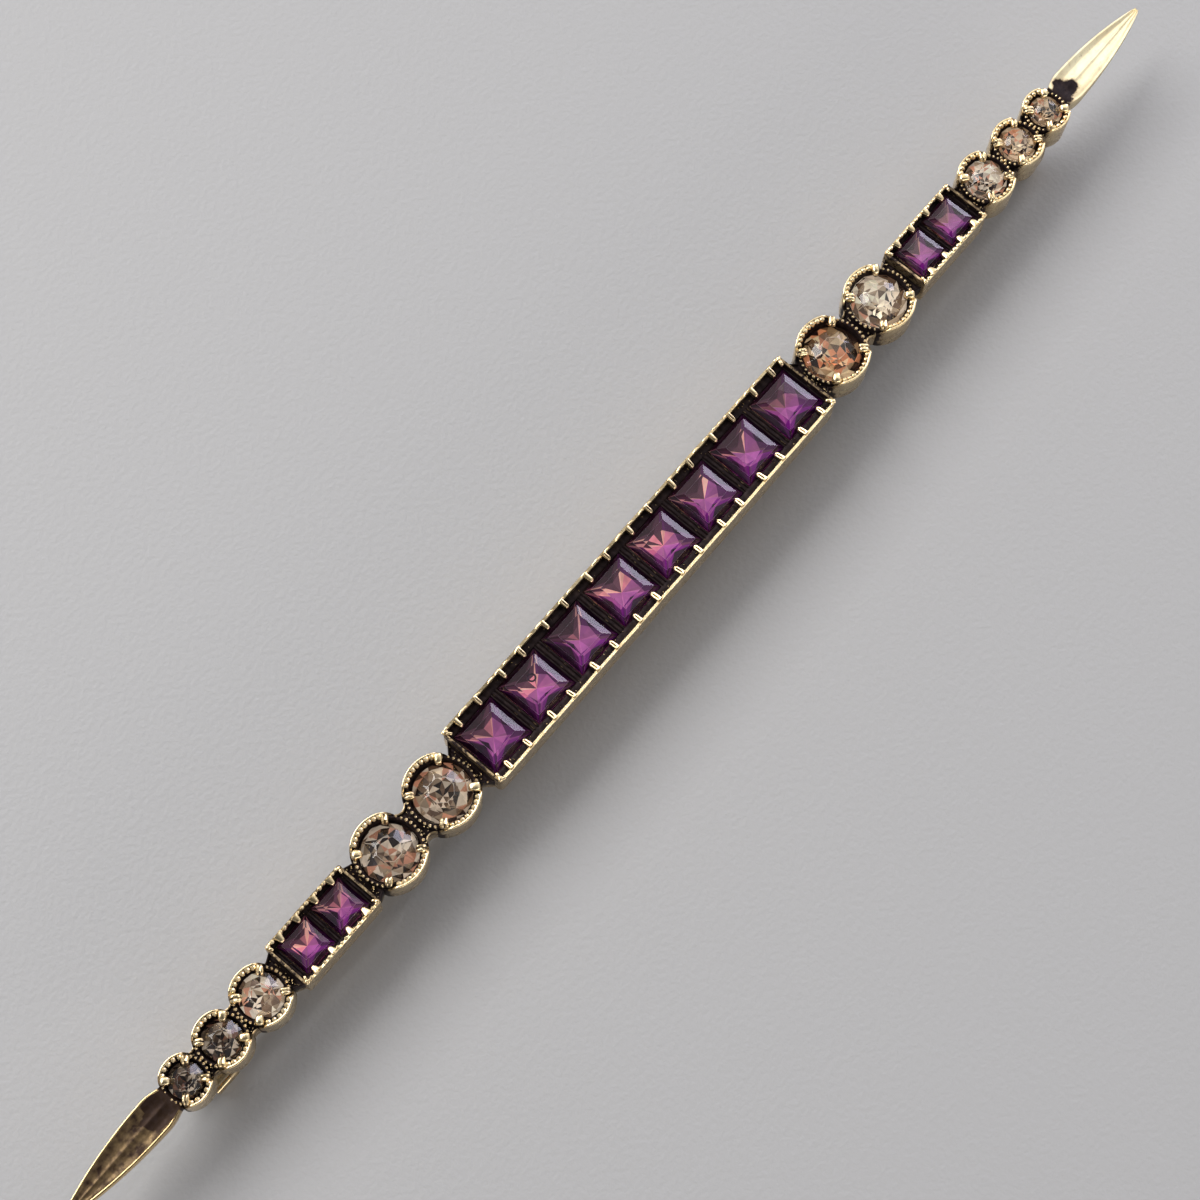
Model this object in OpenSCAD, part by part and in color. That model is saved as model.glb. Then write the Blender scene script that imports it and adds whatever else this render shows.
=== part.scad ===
// Bar brooch: a long narrow bar of soldered metal with a closed back. A long box of square
// stones lies in the middle. On each side follow two round stones, a short box of two smaller
// square stones, three round stones that shrink outwards, and a pointed leaf. The bar lies face
// up on its catch and its hinge. X runs along the bar, Y across it and Z up.

/* [Whole brooch] */
// Length from tip to tip, of which the leaves fill what the settings leave
brooch_len = 91.7; // [86:0.1:98]

/* [Square stones] */
// Side of a large square stone
big_stone = 3; // [2.5:0.1:3.4]
// Number of large square stones
big_count = 8; // [4:1:10]
// Metal between two large stones
big_bar = 0.6; // [0.4:0.05:1]
// Side of a small square stone
small_stone = 2.2; // [1.9:0.1:2.6]
// Number of small square stones in each short box
small_count = 2; // [1:1:3]
// Metal between two small stones
small_bar = 0.45; // [0.3:0.05:0.8]
// Width of a square stone's table as a share of its side
square_table = 0.63; // [0.5:0.01:0.75]
// Slope of a square stone's upper facets
square_crown_angle = 38; // [30:1:42]
// Slope of a square stone's lower facets
square_pavilion_angle = 38; // [32:1:42]

/* [Round stones] */
// Diameter of the round stone beside the long box
round_a = 3.4; // [3:0.1:3.8]
// Diameter of the second round stone
round_b = 3.3; // [2.9:0.1:3.8]
// Diameter of the round stone outside the short box
round_c = 2.5; // [2.2:0.05:3]
// Diameter of the fourth round stone
round_d = 2.25; // [2:0.05:2.8]
// Diameter of the round stone beside the leaf
round_e = 1.95; // [1.7:0.05:2.5]
// Width of a round stone's table as a share of its diameter
round_table = 0.47; // [0.4:0.01:0.6]
// Slope of a round stone's upper facets
round_crown_angle = 30; // [24:1:33]
// Slope of a round stone's lower facets
round_pavilion_angle = 35; // [28:1:38]

/* [Fit of the stones] */
// Thickness of a stone's edge between its upper and lower facets
girdle_t = 0.1; // [0.06:0.01:0.16]
// Flat left at the bottom point of a stone
culet = 0.12; // [0.08:0.01:0.3]
// Play between a stone and the metal round it
stone_play = 0.04; // [0.02:0.01:0.08]
// Width of the shoulder under a stone's edge
seat_w = 0.2; // [0.12:0.01:0.3]
// Height of the tables above the rims
table_rise = 0.05; // [0:0.01:0.15]
// Steepness of the room over a round stone beyond the slope of its upper facets
room_slack = 4; // [2:0.5:6]

/* [Boxes] */
// Depth of the settings from rim to back
setting_h = 2.2; // [2:0.05:2.8]
// Thickness of the closed back
back_t = 0.25; // [0.15:0.05:0.4]
// Thickness of the long box's side walls
big_wall = 0.26; // [0.2:0.02:0.4]
// Width of the ledge beside the large stones
big_ledge = 0.4; // [0.3:0.05:0.6]
// Metal from the last large stone to the end of its box
big_end = 0.34; // [0.25:0.01:0.6]
// Thickness of a short box's side walls
small_wall = 0.24; // [0.2:0.02:0.4]
// Width of the ledge beside the small stones
small_ledge = 0.2; // [0.15:0.05:0.4]
// Metal from a small stone to the end of its box
small_end = 0.5; // [0.35:0.05:0.8]
// Drop from the rims to the ledges
ledge_drop = 0.4; // [0.3:0.05:0.6]
// Thickness of the rim that stands along a box's ends
end_lip = 0.14; // [0.1:0.01:0.2]
// Rounding of the long box's corners
big_corner_r = 0.35; // [0.2:0.05:0.6]
// Rounding of the short boxes' corners
small_corner_r = 0.15; // [0.1:0.05:0.3]

/* [Round settings] */
// Thickness of the collar round a round stone
collar_t = 0.2; // [0.14:0.01:0.28]
// Width of the groove between the collar and the outer edge
groove_w = 0.09; // [0.06:0.01:0.15]
// Depth of that groove
groove_depth = 0.2; // [0.1:0.05:0.4]
// Thickness of the outer edge
edge_t = 0.14; // [0.1:0.01:0.2]
// Half-length of an outer edge as a share of its radius
lobe_reach = 0.76; // [0.6:0.02:0.85]
// Drop from the rims to the metal between two settings
waist_drop = 0.75; // [0.6:0.05:1]
// Space between neighbouring settings from the long box to the third round stone
unit_gap = 0.4; // [0.3:0.05:0.8]
// Space between the outer round settings
end_gap = 0.15; // [0.1:0.05:0.4]
// Hollow rounding between two round settings
waist_fillet = 0.55; // [0.35:0.05:0.8]
// Inset of the metal beside a box from the narrower of its neighbours
waist_inset = 0.25; // [0.15:0.05:0.4]

/* [Claws] */
// Width of the claws on the large stones
big_claw_w = 0.26; // [0.2:0.02:0.34]
// Distance of those claws from the middle of their stone
big_claw_x = 0.8; // [0.6:0.05:1]
// Width of the claws on the small stones
small_claw_w = 0.34; // [0.2:0.02:0.4]
// Distance of those claws from the middle of their stone
small_claw_x = 0.65; // [0.4:0.05:0.75]
// Reach of a claw over the edge of its stone
claw_over = 0.16; // [0.1:0.02:0.24]
// Height of the claws on the square stones above the rims
claw_rise = 0.06; // [0:0.02:0.12]
// Radius of the round heads of the claws on the round stones
claw_r = 0.25; // [0.18:0.01:0.3]
// Distance of the middle of a round head outside the edge of its stone
claw_out = 0.04; // [0:0.01:0.1]
// Turn of those claws from the line along the bar
claw_turn = 45; // [38:1:52]

/* [Leaves] */
// Width of a leaf at its widest
leaf_w = 2.13; // [1.8:0.01:2.6]
// Width of the blunt tip of a leaf
leaf_tip_w = 0.3; // [0.2:0.05:0.5]
// Width of the neck where a leaf begins
neck_w = 1.65; // [1.3:0.05:1.8]
// Distance from the neck to the widest place
leaf_swell = 1.1; // [0.8:0.1:1.6]
// Thickness of a leaf at its neck
leaf_t = 1.3; // [1:0.05:1.5]
// Thickness of a leaf at its tip
leaf_tip_t = 0.5; // [0.3:0.05:0.8]
// Drop from the rims to the top of a leaf
leaf_drop = 0.2; // [0.1:0.05:0.4]
// Width of the raised edges of a leaf
leaf_edge = 0.17; // [0.12:0.01:0.25]
// Depth of the hollow between those edges
leaf_hollow = 0.28; // [0.15:0.01:0.4]

/* [Pin] */
// Diameter of the pin's wire
pin_d = 0.8; // [0.7:0.05:0.9]
// Length of the pin's sharpened end
point_len = 6; // [4:0.5:9]
// Length of the pin beyond the catch
pin_over = 1.6; // [0.8:0.1:2.5]
// Diameter of the pin's flat end
point_d = 0.12; // [0.08:0.02:0.2]

/* [Hinge and catch] */
// Height of the hinge and the catch below the back
foot_h = 2.6; // [2.4:0.05:3.2]
// Outer diameter of the hinge tube
knuckle_d = 1.8; // [1.6:0.05:2]
// Diameter of the rivet
rivet_d = 0.7; // [0.5:0.05:0.8]
// Play of the pin on its rivet
rivet_play = 0.05; // [0.03:0.01:0.08]
// Length of the whole hinge along its rivet
hinge_w = 2.2; // [1.8:0.1:2.4]
// Metal of the pin's own knuckle on each side of its wire
eye_side = 0.05; // [0.02:0.01:0.1]
// Space on each side of the pin's knuckle
eye_play = 0.06; // [0.04:0.01:0.1]
// Thickness of the plates under the back
plate_t = 0.35; // [0.25:0.05:0.5]
// Length of those plates along the bar
plate_len = 3; // [2.4:0.1:4]
// Width of the catch across the bar
catch_w = 2.3; // [2:0.1:3]
// Length of the catch along the bar
catch_len = 1.6; // [1.2:0.1:2.2]
// Thickness of the strip that the catch is bent from
catch_t = 0.38; // [0.3:0.02:0.44]
// Height of the lip that keeps the pin in
catch_lip = 0.5; // [0.3:0.05:0.7]

/* [Hidden] */
SIDES = ["left", "right"];
ROUND_NAMES = ["a", "b", "c", "d", "e"];
eps = 0.02;
QUARTER = 90;
CORNER_TURN = QUARTER / 4;
GOLD = [0.80, 0.68, 0.45];
WIRE = [0.72, 0.62, 0.42];
AMETHYST = [0.45, 0.16, 0.52];
SMOKE = [0.55, 0.47, 0.40];

// Heights
back_z = foot_h;
rim_z = back_z + setting_h;
ledge_z = rim_z - ledge_drop;
waist_z = rim_z - waist_drop;
table_z = rim_z + table_rise;
floor_z = back_z + back_t;
pin_z = knuckle_d / 2;
eye_w = pin_d + 2 * eye_side;

// Lengths along the bar, each chained to the one before it
function row_len(count, stone, bar) = count * stone + (count - 1) * bar;
function collar_r(d) = d / 2 + stone_play + collar_t;
function lobe_r(d) = collar_r(d) + groove_w + edge_t;
big_len = row_len(big_count, big_stone, big_bar) + 2 * big_end;
big_w = big_stone + 2 * (big_ledge + big_wall);
small_len = row_len(small_count, small_stone, small_bar) + 2 * small_end;
small_w = small_stone + 2 * (small_ledge + small_wall);
xa = big_len / 2 + unit_gap + collar_r(round_a);
xb = xa + collar_r(round_a) + unit_gap + collar_r(round_b);
small_x = xb + collar_r(round_b) + unit_gap + small_len / 2;
xc = small_x + small_len / 2 + unit_gap + collar_r(round_c);
xd = xc + collar_r(round_c) + end_gap + collar_r(round_d);
xe = xd + collar_r(round_d) + end_gap + collar_r(round_e);
leaf_x = xe + collar_r(round_e);
leaf_len = brooch_len / 2 - leaf_x;
// Round settings from the middle outwards: place along the bar, stone diameter
ROUNDS = [[xa, round_a], [xb, round_b], [xc, round_c], [xd, round_d], [xe, round_e]];
// Places of the hinge and the catch, each under the joint of the two outer round settings
hinge_x = (xd + xe) / 2;
catch_x = -hinge_x;
pin_tip_x = catch_x - catch_len / 2 - pin_over;

// Heights of a stone's parts, from the slopes of its facets
corner_cos = cos(CORNER_TURN);
function square_top(s) = table_z - s / 2 * (1 - square_table) * tan(square_crown_angle);
function square_low(s) = square_top(s) - girdle_t;
function square_seat(s) = square_low(s) - seat_w * tan(square_pavilion_angle) - stone_play;
function round_flat(d) = d / 2 * 0.97;
function round_top(d) = table_z - (round_flat(d) - d / 2 * round_table) * tan(round_crown_angle);
function round_low(d) = round_top(d) - girdle_t;
function round_seat(d) = round_low(d) - stone_play
    - (round_flat(d) - (d / 2 - seat_w) * corner_cos) * tan(round_pavilion_angle);

// Outlines
function corner_arc(x, y, r, from) = [for (t = [0:CORNER_TURN:QUARTER])
    [x + r * cos(from + t), y + r * sin(from + t)]];
function rounded_rectangle(l, w, r) = concat(
    corner_arc(l / 2 - r, w / 2 - r, r, 0), corner_arc(r - l / 2, w / 2 - r, r, QUARTER),
    corner_arc(r - l / 2, r - w / 2, r, 2 * QUARTER), corner_arc(l / 2 - r, r - w / 2, r, 3 * QUARTER));
// Half-width of a leaf at a distance u from its neck: a quick swell, then a long bulging taper
function leaf_half(u) = u < leaf_swell
    ? neck_w / 2 + (leaf_w - neck_w) / 2 * sin(QUARTER * u / leaf_swell)
    : leaf_tip_w / 2 + (leaf_w - leaf_tip_w) / 2
        * pow(1 - pow(min(u - leaf_swell, leaf_len - leaf_swell) / (leaf_len - leaf_swell), 2), 0.9);
LEAF_STEPS = concat([for (i = [0:3]) leaf_swell * i / 3],
    [for (i = [1:10]) leaf_swell + (leaf_len - leaf_swell) * sin(9 * i)]);
function leaf_outline(inset, from) = let (us = [for (u = LEAF_STEPS) if (u >= from) u])
    concat([for (u = us) [u, max(leaf_half(u) - inset, 0.02)]],
        [for (i = [len(us) - 1:-1:0]) [us[i], -max(leaf_half(us[i]) - inset, 0.02)]]);

// A prism along Y with its outline in X and Z
module prism_y(points, w) {
    rotate([90, 0, 0]) linear_extrude(w, center = true) polygon(points);
}

// A prism along X with its outline in Y and Z
module prism_x(points, l) {
    rotate([90, 0, 90]) linear_extrude(l, center = true) polygon(points);
}

// A solid with the same side outline seen from each of several directions
module turned_prisms(points, directions, w) {
    intersection_for (k = [0:directions - 1]) rotate([0, 0, 180 * k / directions]) prism_y(points, w);
}

// Side outline of a stone: table, edge and bottom point
function stone_side(table, top, low, flat, pavilion_angle) =
    let (bottom = low - (flat - culet / 2) * tan(pavilion_angle))
    [[table, table_z], [flat, top], [flat, low], [culet / 2, bottom],
     [-culet / 2, bottom], [-flat, low], [-flat, top], [-table, table_z]];

module square_stone(s) {
    side = stone_side(s / 2 * square_table, square_top(s), square_low(s), s / 2, square_pavilion_angle);
    turned_prisms(side, directions = 2, w = 2 * s);
}

module round_stone(d) {
    side = stone_side(d / 2 * round_table, round_top(d), round_low(d), round_flat(d),
        round_pavilion_angle);
    intersection() {
        translate([0, 0, back_z]) cylinder(h = setting_h + table_rise, d = d, $fn = 48);
        turned_prisms(side, directions = 4, w = 2 * d);
    }
}

// Room for a square stone, down to the closed back
module square_room(s) {
    half = s / 2 + stone_play;
    low = s / 2 - seat_w;
    top = square_top(s) + stone_play / 2;
    rise = 2 * ledge_drop;
    crown = half - rise / tan(square_crown_angle);
    side = [[-half, square_seat(s)], [half, square_seat(s)], [half, top],
        [crown, top + rise], [-crown, top + rise], [-half, top]];
    turned_prisms(side, directions = 2, w = 2 * s);
    translate([-low, -low, floor_z]) cube([2 * low, 2 * low, square_seat(s) - floor_z + eps]);
}

// Room for a round stone, down to the closed back
module round_room(d) {
    r = d / 2 + stone_play;
    top = round_top(d) + stone_play;
    rise = table_z - top + 2 * stone_play + claw_r;
    slope = round_crown_angle + room_slack;
    translate([0, 0, round_seat(d)]) cylinder(h = top - round_seat(d), r = r, $fn = 48);
    translate([0, 0, top - eps])
        cylinder(h = rise, r1 = r + stone_play, r2 = r + stone_play - rise / tan(slope), $fn = 48);
    translate([0, 0, floor_z])
        cylinder(h = round_seat(d) - floor_z + eps, r = d / 2 - seat_w, $fn = 48);
}

// A box for a row of square stones, with a ledge and two claws on each side of each stone
module stone_box(l, w, wall, corner_r, stone, count, bar, claw_w, claw_x) {
    pitch = stone + bar;
    inner = w / 2 - wall;
    tip = stone / 2 - claw_over;
    difference() {
        union() {
            difference() {
                translate([0, 0, back_z]) linear_extrude(setting_h)
                    polygon(rounded_rectangle(l, w, corner_r));
                translate([end_lip - l / 2, -inner, ledge_z])
                    cube([l - 2 * end_lip, 2 * inner, 2 * ledge_drop]);
            }
            for (i = [0:count - 1]) for (dx = [-claw_x, claw_x]) for (m = [0, 1])
                translate([(i - (count - 1) / 2) * pitch + dx, 0, 0]) mirror([0, m, 0])
                    prism_x([[inner + wall / 2, ledge_z - eps], [inner + wall / 2, rim_z + claw_rise],
                        [inner - wall / 2, rim_z + claw_rise], [tip, rim_z - claw_rise],
                        [tip, ledge_z - eps]], claw_w);
        }
        for (i = [0:count - 1]) translate([(i - (count - 1) / 2) * pitch, 0, 0]) square_room(stone);
    }
}

// The cup of a round stone: a collar, two outer edges and four claws above a full round foot
module round_cup(d) {
    r = lobe_r(d);
    reach = lobe_reach * r;
    head_z = rim_z - claw_r / 4;
    upper_h = rim_z - waist_z + eps;
    difference() {
        union() {
            translate([0, 0, back_z]) cylinder(h = waist_z - back_z, r = r, $fn = 64);
            translate([0, 0, waist_z - eps]) difference() {
                cylinder(h = upper_h, r = collar_r(d), $fn = 64);
                translate([0, 0, eps]) cylinder(h = setting_h, r = d / 2 + stone_play, $fn = 48);
            }
            translate([0, 0, waist_z - eps]) difference() {
                intersection() {
                    cylinder(h = upper_h, r = r, $fn = 64);
                    translate([-reach, -r, 0]) cube([2 * reach, 2 * r, setting_h]);
                }
                translate([0, 0, upper_h - groove_depth]) cylinder(h = setting_h, r = r - edge_t, $fn = 64);
                cylinder(h = setting_h, r = d / 2 + stone_play, $fn = 48);
            }
            for (a = [claw_turn, -claw_turn, 180 + claw_turn, 180 - claw_turn]) rotate([0, 0, a])
                translate([d / 2 + claw_out, 0, 0]) {
                    translate([0, 0, waist_z]) cylinder(h = head_z - waist_z, r = claw_r, $fn = 32);
                    translate([0, 0, head_z]) sphere(r = claw_r, $fn = 32);
                }
        }
        round_room(d);
    }
}

// Metal between two round settings, with a hollow rounding on each side. The rounding runs a
// little into the settings, so that the surfaces cross and don't only touch.
module round_waist(x1, d1, x2, d2) {
    r1 = lobe_r(d1);
    r2 = lobe_r(d2);
    gap = x2 - x1;
    cx = (pow(r1 + waist_fillet, 2) - pow(r2 + waist_fillet, 2) + gap * gap) / (2 * gap);
    cy = sqrt(pow(r1 + waist_fillet, 2) - cx * cx);
    t1 = r1 / (r1 + waist_fillet);
    t2 = r2 / (r2 + waist_fillet);
    translate([x1, 0, back_z]) difference() {
        linear_extrude(waist_z - back_z) polygon([[cx * t1, cy * t1], [gap - (gap - cx) * t2, cy * t2],
            [gap - (gap - cx) * t2, -cy * t2], [cx * t1, -cy * t1]]);
        for (m = [-1, 1]) translate([cx, m * cy, -eps])
            cylinder(h = setting_h, r = waist_fillet + eps, $fn = 48);
        translate([0, 0, -eps]) cylinder(h = setting_h, r = r1 - edge_t, $fn = 48);
        translate([gap, 0, -eps]) cylinder(h = setting_h, r = r2 - edge_t, $fn = 48);
    }
}

// Plain metal between a box and a round setting, out of the room of the round stone
module box_waist(x1, x2, half_w, round_x, d) {
    translate([0, 0, back_z]) difference() {
        translate([min(x1, x2), -half_w, 0]) cube([abs(x2 - x1), 2 * half_w, waist_z - back_z]);
        translate([round_x, 0, -eps]) cylinder(h = setting_h, r = lobe_r(d) - edge_t, $fn = 48);
    }
}

// A leaf with raised edges, hollow faces and a ridge along its middle
module leaf() {
    top = rim_z - leaf_drop;
    tip_top = top - (leaf_t - leaf_tip_t) / 3;
    root = collar_r(round_e) / 2;
    side = [[-root, top - leaf_t], [leaf_len, tip_top - leaf_tip_t], [leaf_len, tip_top], [0, top],
        [0, waist_z], [-root, waist_z]];
    difference() {
        intersection() {
            union() {
                translate([0, 0, back_z]) linear_extrude(2 * setting_h) polygon(leaf_outline(0, 0));
                translate([-root, -neck_w / 2, back_z]) cube([root + eps, neck_w, setting_h]);
            }
            prism_y(side, 2 * leaf_w);
        }
        translate([-collar_r(round_e), 0, back_z])
            cylinder(h = 2 * setting_h, r = collar_r(round_e) - collar_t / 2, $fn = 48);
        difference() {
            intersection() {
                translate([0, 0, back_z]) linear_extrude(2 * setting_h)
                    polygon(leaf_outline(leaf_edge, leaf_swell / 2));
                prism_y([[0, top - leaf_hollow], [leaf_len, tip_top - leaf_hollow / 2],
                    [leaf_len, rim_z], [0, rim_z]], 2 * leaf_w);
            }
            prism_x([[0, top - leaf_hollow / 2], [leaf_edge, back_z], [-leaf_edge, back_z]],
                4 * leaf_len);
        }
    }
}

// The hinge: a plate under the back, two knuckles on it and the rivet through them
module hinge() {
    knuckle_w = (hinge_w - eye_w) / 2 - eye_play;
    translate([hinge_x, 0, 0]) {
        translate([-plate_len / 2, -hinge_w / 2, back_z - plate_t])
            cube([plate_len, hinge_w, plate_t + back_t / 2]);
        for (m = [-1, 1]) translate([0, m * (hinge_w - knuckle_w) / 2, 0]) {
            translate([0, 0, pin_z]) rotate([90, 0, 0])
                cylinder(h = knuckle_w, d = knuckle_d, center = true, $fn = 48);
            translate([-knuckle_d / 3, -knuckle_w / 2, pin_z])
                cube([knuckle_d / 1.5, knuckle_w, back_z - pin_z]);
        }
        translate([0, 0, pin_z]) rotate([90, 0, 0])
            cylinder(h = hinge_w - knuckle_w, d = rivet_d, center = true, $fn = 32);
    }
}

// The catch: a strip bent round the pin below a plate, with its mouth on the lower side
module catch() {
    top = back_z - plate_t + eps;
    lip = catch_t + catch_lip;
    out = catch_w / 2;
    in = out - catch_t;
    bevel = catch_t / 2;
    translate([catch_x, 0, 0]) {
        translate([-plate_len / 2, -out, back_z - plate_t])
            cube([plate_len, catch_w, plate_t + back_t / 2]);
        prism_x([[out, top], [out, bevel], [out - bevel, 0], [bevel - out, 0], [-out, bevel], [-out, lip],
            [-in, lip], [-in, catch_t], [in, catch_t], [in, top]], catch_len);
    }
}

module half_bar() {
    for (u = ROUNDS) translate([u[0], 0, 0]) round_cup(u[1]);
    translate([small_x, 0, 0]) stone_box(small_len, small_w, small_wall, small_corner_r, small_stone,
        small_count, small_bar, small_claw_w, small_claw_x);
    round_waist(xa, round_a, xb, round_b);
    round_waist(xc, round_c, xd, round_d);
    round_waist(xd, round_d, xe, round_e);
    box_waist(big_len / 2 - big_end / 2, xa, min(big_w / 2, lobe_r(round_a)) - waist_inset, xa, round_a);
    box_waist(xb, small_x - small_len / 2 + small_end / 2,
        min(small_w / 2, lobe_r(round_b)) - waist_inset / 2, xb, round_b);
    box_waist(small_x + small_len / 2 - small_end / 2, xc,
        min(small_w / 2, lobe_r(round_c)) - waist_inset / 2, xc, round_c);
    translate([leaf_x, 0, 0]) leaf();
}

module setting() {
    color(GOLD) {
        stone_box(big_len, big_w, big_wall, big_corner_r, big_stone, big_count, big_bar, big_claw_w,
            big_claw_x);
        for (m = [0, 1]) mirror([m, 0, 0]) half_bar();
        hinge();
        catch();
    }
}

// The pin: a knuckle on the rivet, a straight wire and a sharpened end
module pin() {
    stem_len = hinge_x - pin_tip_x - point_len;
    color(WIRE) difference() {
        translate([hinge_x, 0, pin_z]) {
            rotate([90, 0, 0])
                cylinder(h = eye_w, d = knuckle_d - 2 * eye_play, center = true, $fn = 48);
            rotate([0, -90, 0]) cylinder(h = stem_len, d = pin_d, $fn = 32);
            translate([-stem_len, 0, 0]) rotate([0, -90, 0])
                cylinder(h = point_len, d1 = pin_d, d2 = point_d, $fn = 32);
        }
        translate([hinge_x, 0, pin_z]) rotate([90, 0, 0])
            cylinder(h = hinge_w, d = rivet_d + 2 * rivet_play, center = true, $fn = 32);
    }
}

module large_square_stone(i) {
    color(AMETHYST) translate([(i - (big_count + 1) / 2) * (big_stone + big_bar), 0, 0])
        square_stone(big_stone);
}

module small_square_stone(side, i) {
    color(AMETHYST) mirror([side == "left" ? 1 : 0, 0, 0])
        translate([small_x + (i - (small_count + 1) / 2) * (small_stone + small_bar), 0, 0])
            square_stone(small_stone);
}

module round_side_stone(side, k) {
    color(SMOKE) mirror([side == "left" ? 1 : 0, 0, 0])
        translate([ROUNDS[k][0], 0, 0]) round_stone(ROUNDS[k][1]);
}

setting();
pin();
for (i = [1:big_count])
    large_square_stone(i);
for (s = SIDES) for (i = [1:small_count])
    small_square_stone(s, i);
for (s = SIDES) for (k = [0:len(ROUND_NAMES) - 1])
    round_side_stone(s, k);
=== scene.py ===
# %% [markdown]
# A bar brooch in an old style: a long bar of pale gold settings whose recesses have gone almost
# black. Eight square violet stones sit in a long box in the middle, and smaller square stones and
# smoky round ones follow on both sides, out to a pointed leaf at each end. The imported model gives
# the sizes and places. Everything here is the surface that a jeweller's hand leaves on it.

import bpy
import numpy as np
from mathutils import Matrix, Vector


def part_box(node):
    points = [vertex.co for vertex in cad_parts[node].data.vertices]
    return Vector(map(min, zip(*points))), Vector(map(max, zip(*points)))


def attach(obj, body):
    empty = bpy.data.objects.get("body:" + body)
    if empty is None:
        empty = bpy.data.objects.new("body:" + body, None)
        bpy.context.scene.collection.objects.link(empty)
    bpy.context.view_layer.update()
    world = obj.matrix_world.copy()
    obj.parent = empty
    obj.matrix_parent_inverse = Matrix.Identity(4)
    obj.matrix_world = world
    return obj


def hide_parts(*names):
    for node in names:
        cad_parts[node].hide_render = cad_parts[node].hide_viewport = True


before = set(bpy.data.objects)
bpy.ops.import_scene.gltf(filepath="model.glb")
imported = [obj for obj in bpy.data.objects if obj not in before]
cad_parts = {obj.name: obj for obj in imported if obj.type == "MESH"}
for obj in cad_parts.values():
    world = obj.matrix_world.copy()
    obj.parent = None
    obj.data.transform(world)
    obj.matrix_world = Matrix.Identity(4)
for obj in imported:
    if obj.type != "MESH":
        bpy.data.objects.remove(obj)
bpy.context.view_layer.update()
MM = 0.001
rng = np.random.default_rng(11)
print("solids in the frame:", len(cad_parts))

# %% [markdown]
# The stones are the best rulers that the frame offers, because every setting is built round its
# stone. So the places along the bar and the stones' widths are read from the nodes' boxes, and the
# heights of the rims, ledges and waists are counted down from the stones' tables.

# %% Places and heights
SIDES = ("left", "right")
ROUND_FLAT = 0.97  # width of a round stone across its flat edges, as a share of its diameter
TABLE_RISE = 0.05  # height of the stones' tables above the rim
LEDGE_DROP, WAIST_DROP, BACK_DROP = 0.4, 0.75, 2.2  # how far each lies below the rim
BACK_T = 0.25  # thickness of the closed back


def node_box(name):
    """Lowest and highest corner of a node, in millimetres."""
    return [np.array(corner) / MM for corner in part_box(name)]


def stones_named(start, flat=1.0):
    """Place along the bar and width of each stone whose name starts so, in millimetres. The width is the
    box's, divided by the share that a stone measures across its flat edges."""
    boxes = {name: node_box(name) for name in sorted(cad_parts) if name.startswith(start)}
    return {name: ((low[0] + high[0]) / 2, (high[1] - low[1]) / flat) for name, (low, high) in boxes.items()}


LARGE, SMALL = stones_named("large_square_stone"), stones_named("small_square_stone")
ROUND = stones_named("round_stone", ROUND_FLAT)
TIP_X = node_box("setting")[1][0]
TABLE_Z = node_box("large_square_stone_1")[1][2]
RIM_Z = TABLE_Z - TABLE_RISE
LEDGE_Z, WAIST_Z, BACK_Z = RIM_Z - LEDGE_DROP, RIM_Z - WAIST_DROP, RIM_Z - BACK_DROP
WELL_Z = BACK_Z + BACK_T
print("rim", round(RIM_Z, 3), "back", round(BACK_Z, 3), "tip", round(TIP_X, 2))

# %% [markdown]
# Every metal piece below starts as a section, a line of points that is then carried along a path.
# A real edge is never knife-sharp, so the corners of a section are rounded first. A bevel could do
# that afterwards, but a rounded section needs no modifier, and its points stay easy to count.

# %% Rounded sections
def rounded(path, cut, steps=3):
    """Rounds a path's corners. The path leaves its line `cut` before a corner and joins the next line
    `cut` after it, and a parabola drawn towards the corner runs between the two places."""
    path = np.asarray(path, float)
    before, corner, after = path[..., :-2, :], path[..., 1:-1, :], path[..., 2:, :]

    def toward(other):
        step = other - corner
        size = np.linalg.norm(step, axis=-1, keepdims=True)
        return corner + step * np.minimum(cut / np.maximum(size, 1e-9), 0.5)

    t = np.linspace(0, 1, steps)[:, None]
    start, end = toward(before)[..., None, :], toward(after)[..., None, :]
    curve = (1 - t) ** 2 * start + 2 * t * (1 - t) * corner[..., None, :] + t ** 2 * end
    curve = curve.reshape(*path.shape[:-2], -1, path.shape[-1])
    return np.concatenate([path[..., :1, :], curve, path[..., -1:, :]], -2)


def rounded_loop(path, cut, steps=3):
    """The same for a closed section, whose last corner joins its first."""
    path = np.asarray(path, float)
    wrapped = np.concatenate([path[..., -1:, :], path, path[..., :1, :]], -2)
    return rounded(wrapped, cut, steps)[..., 1:-1, :]


print("points of a rounded square:", len(rounded_loop([(0, 0), (1, 0), (1, 1), (0, 1)], 0.1)))

# %% [markdown]
# A section carried along a path gives a grid of points: rows run along the piece and columns run
# round it. The grid keeps the whole shape in a few arrays, and its faces follow from counting. A
# skin has to be closed, with its faces outwards, and the sign of its volume tells which way they
# point.

# %% Closed skins
def volume(points, quads, caps):
    """Six times the volume is the sum, over all triangles, of one corner dotted with the cross of the
    other two."""
    triangles = [quads[:, [0, 1, 2]], quads[:, [0, 2, 3]]]
    triangles += [np.stack([np.full(len(c) - 2, c[0]), c[1:-1], c[2:]], -1) for c in caps]
    a, b, c = np.moveaxis(points[np.concatenate(triangles)], 1, 0)
    return np.einsum("ij,ij->", a, np.cross(b, c)) / 6


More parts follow.
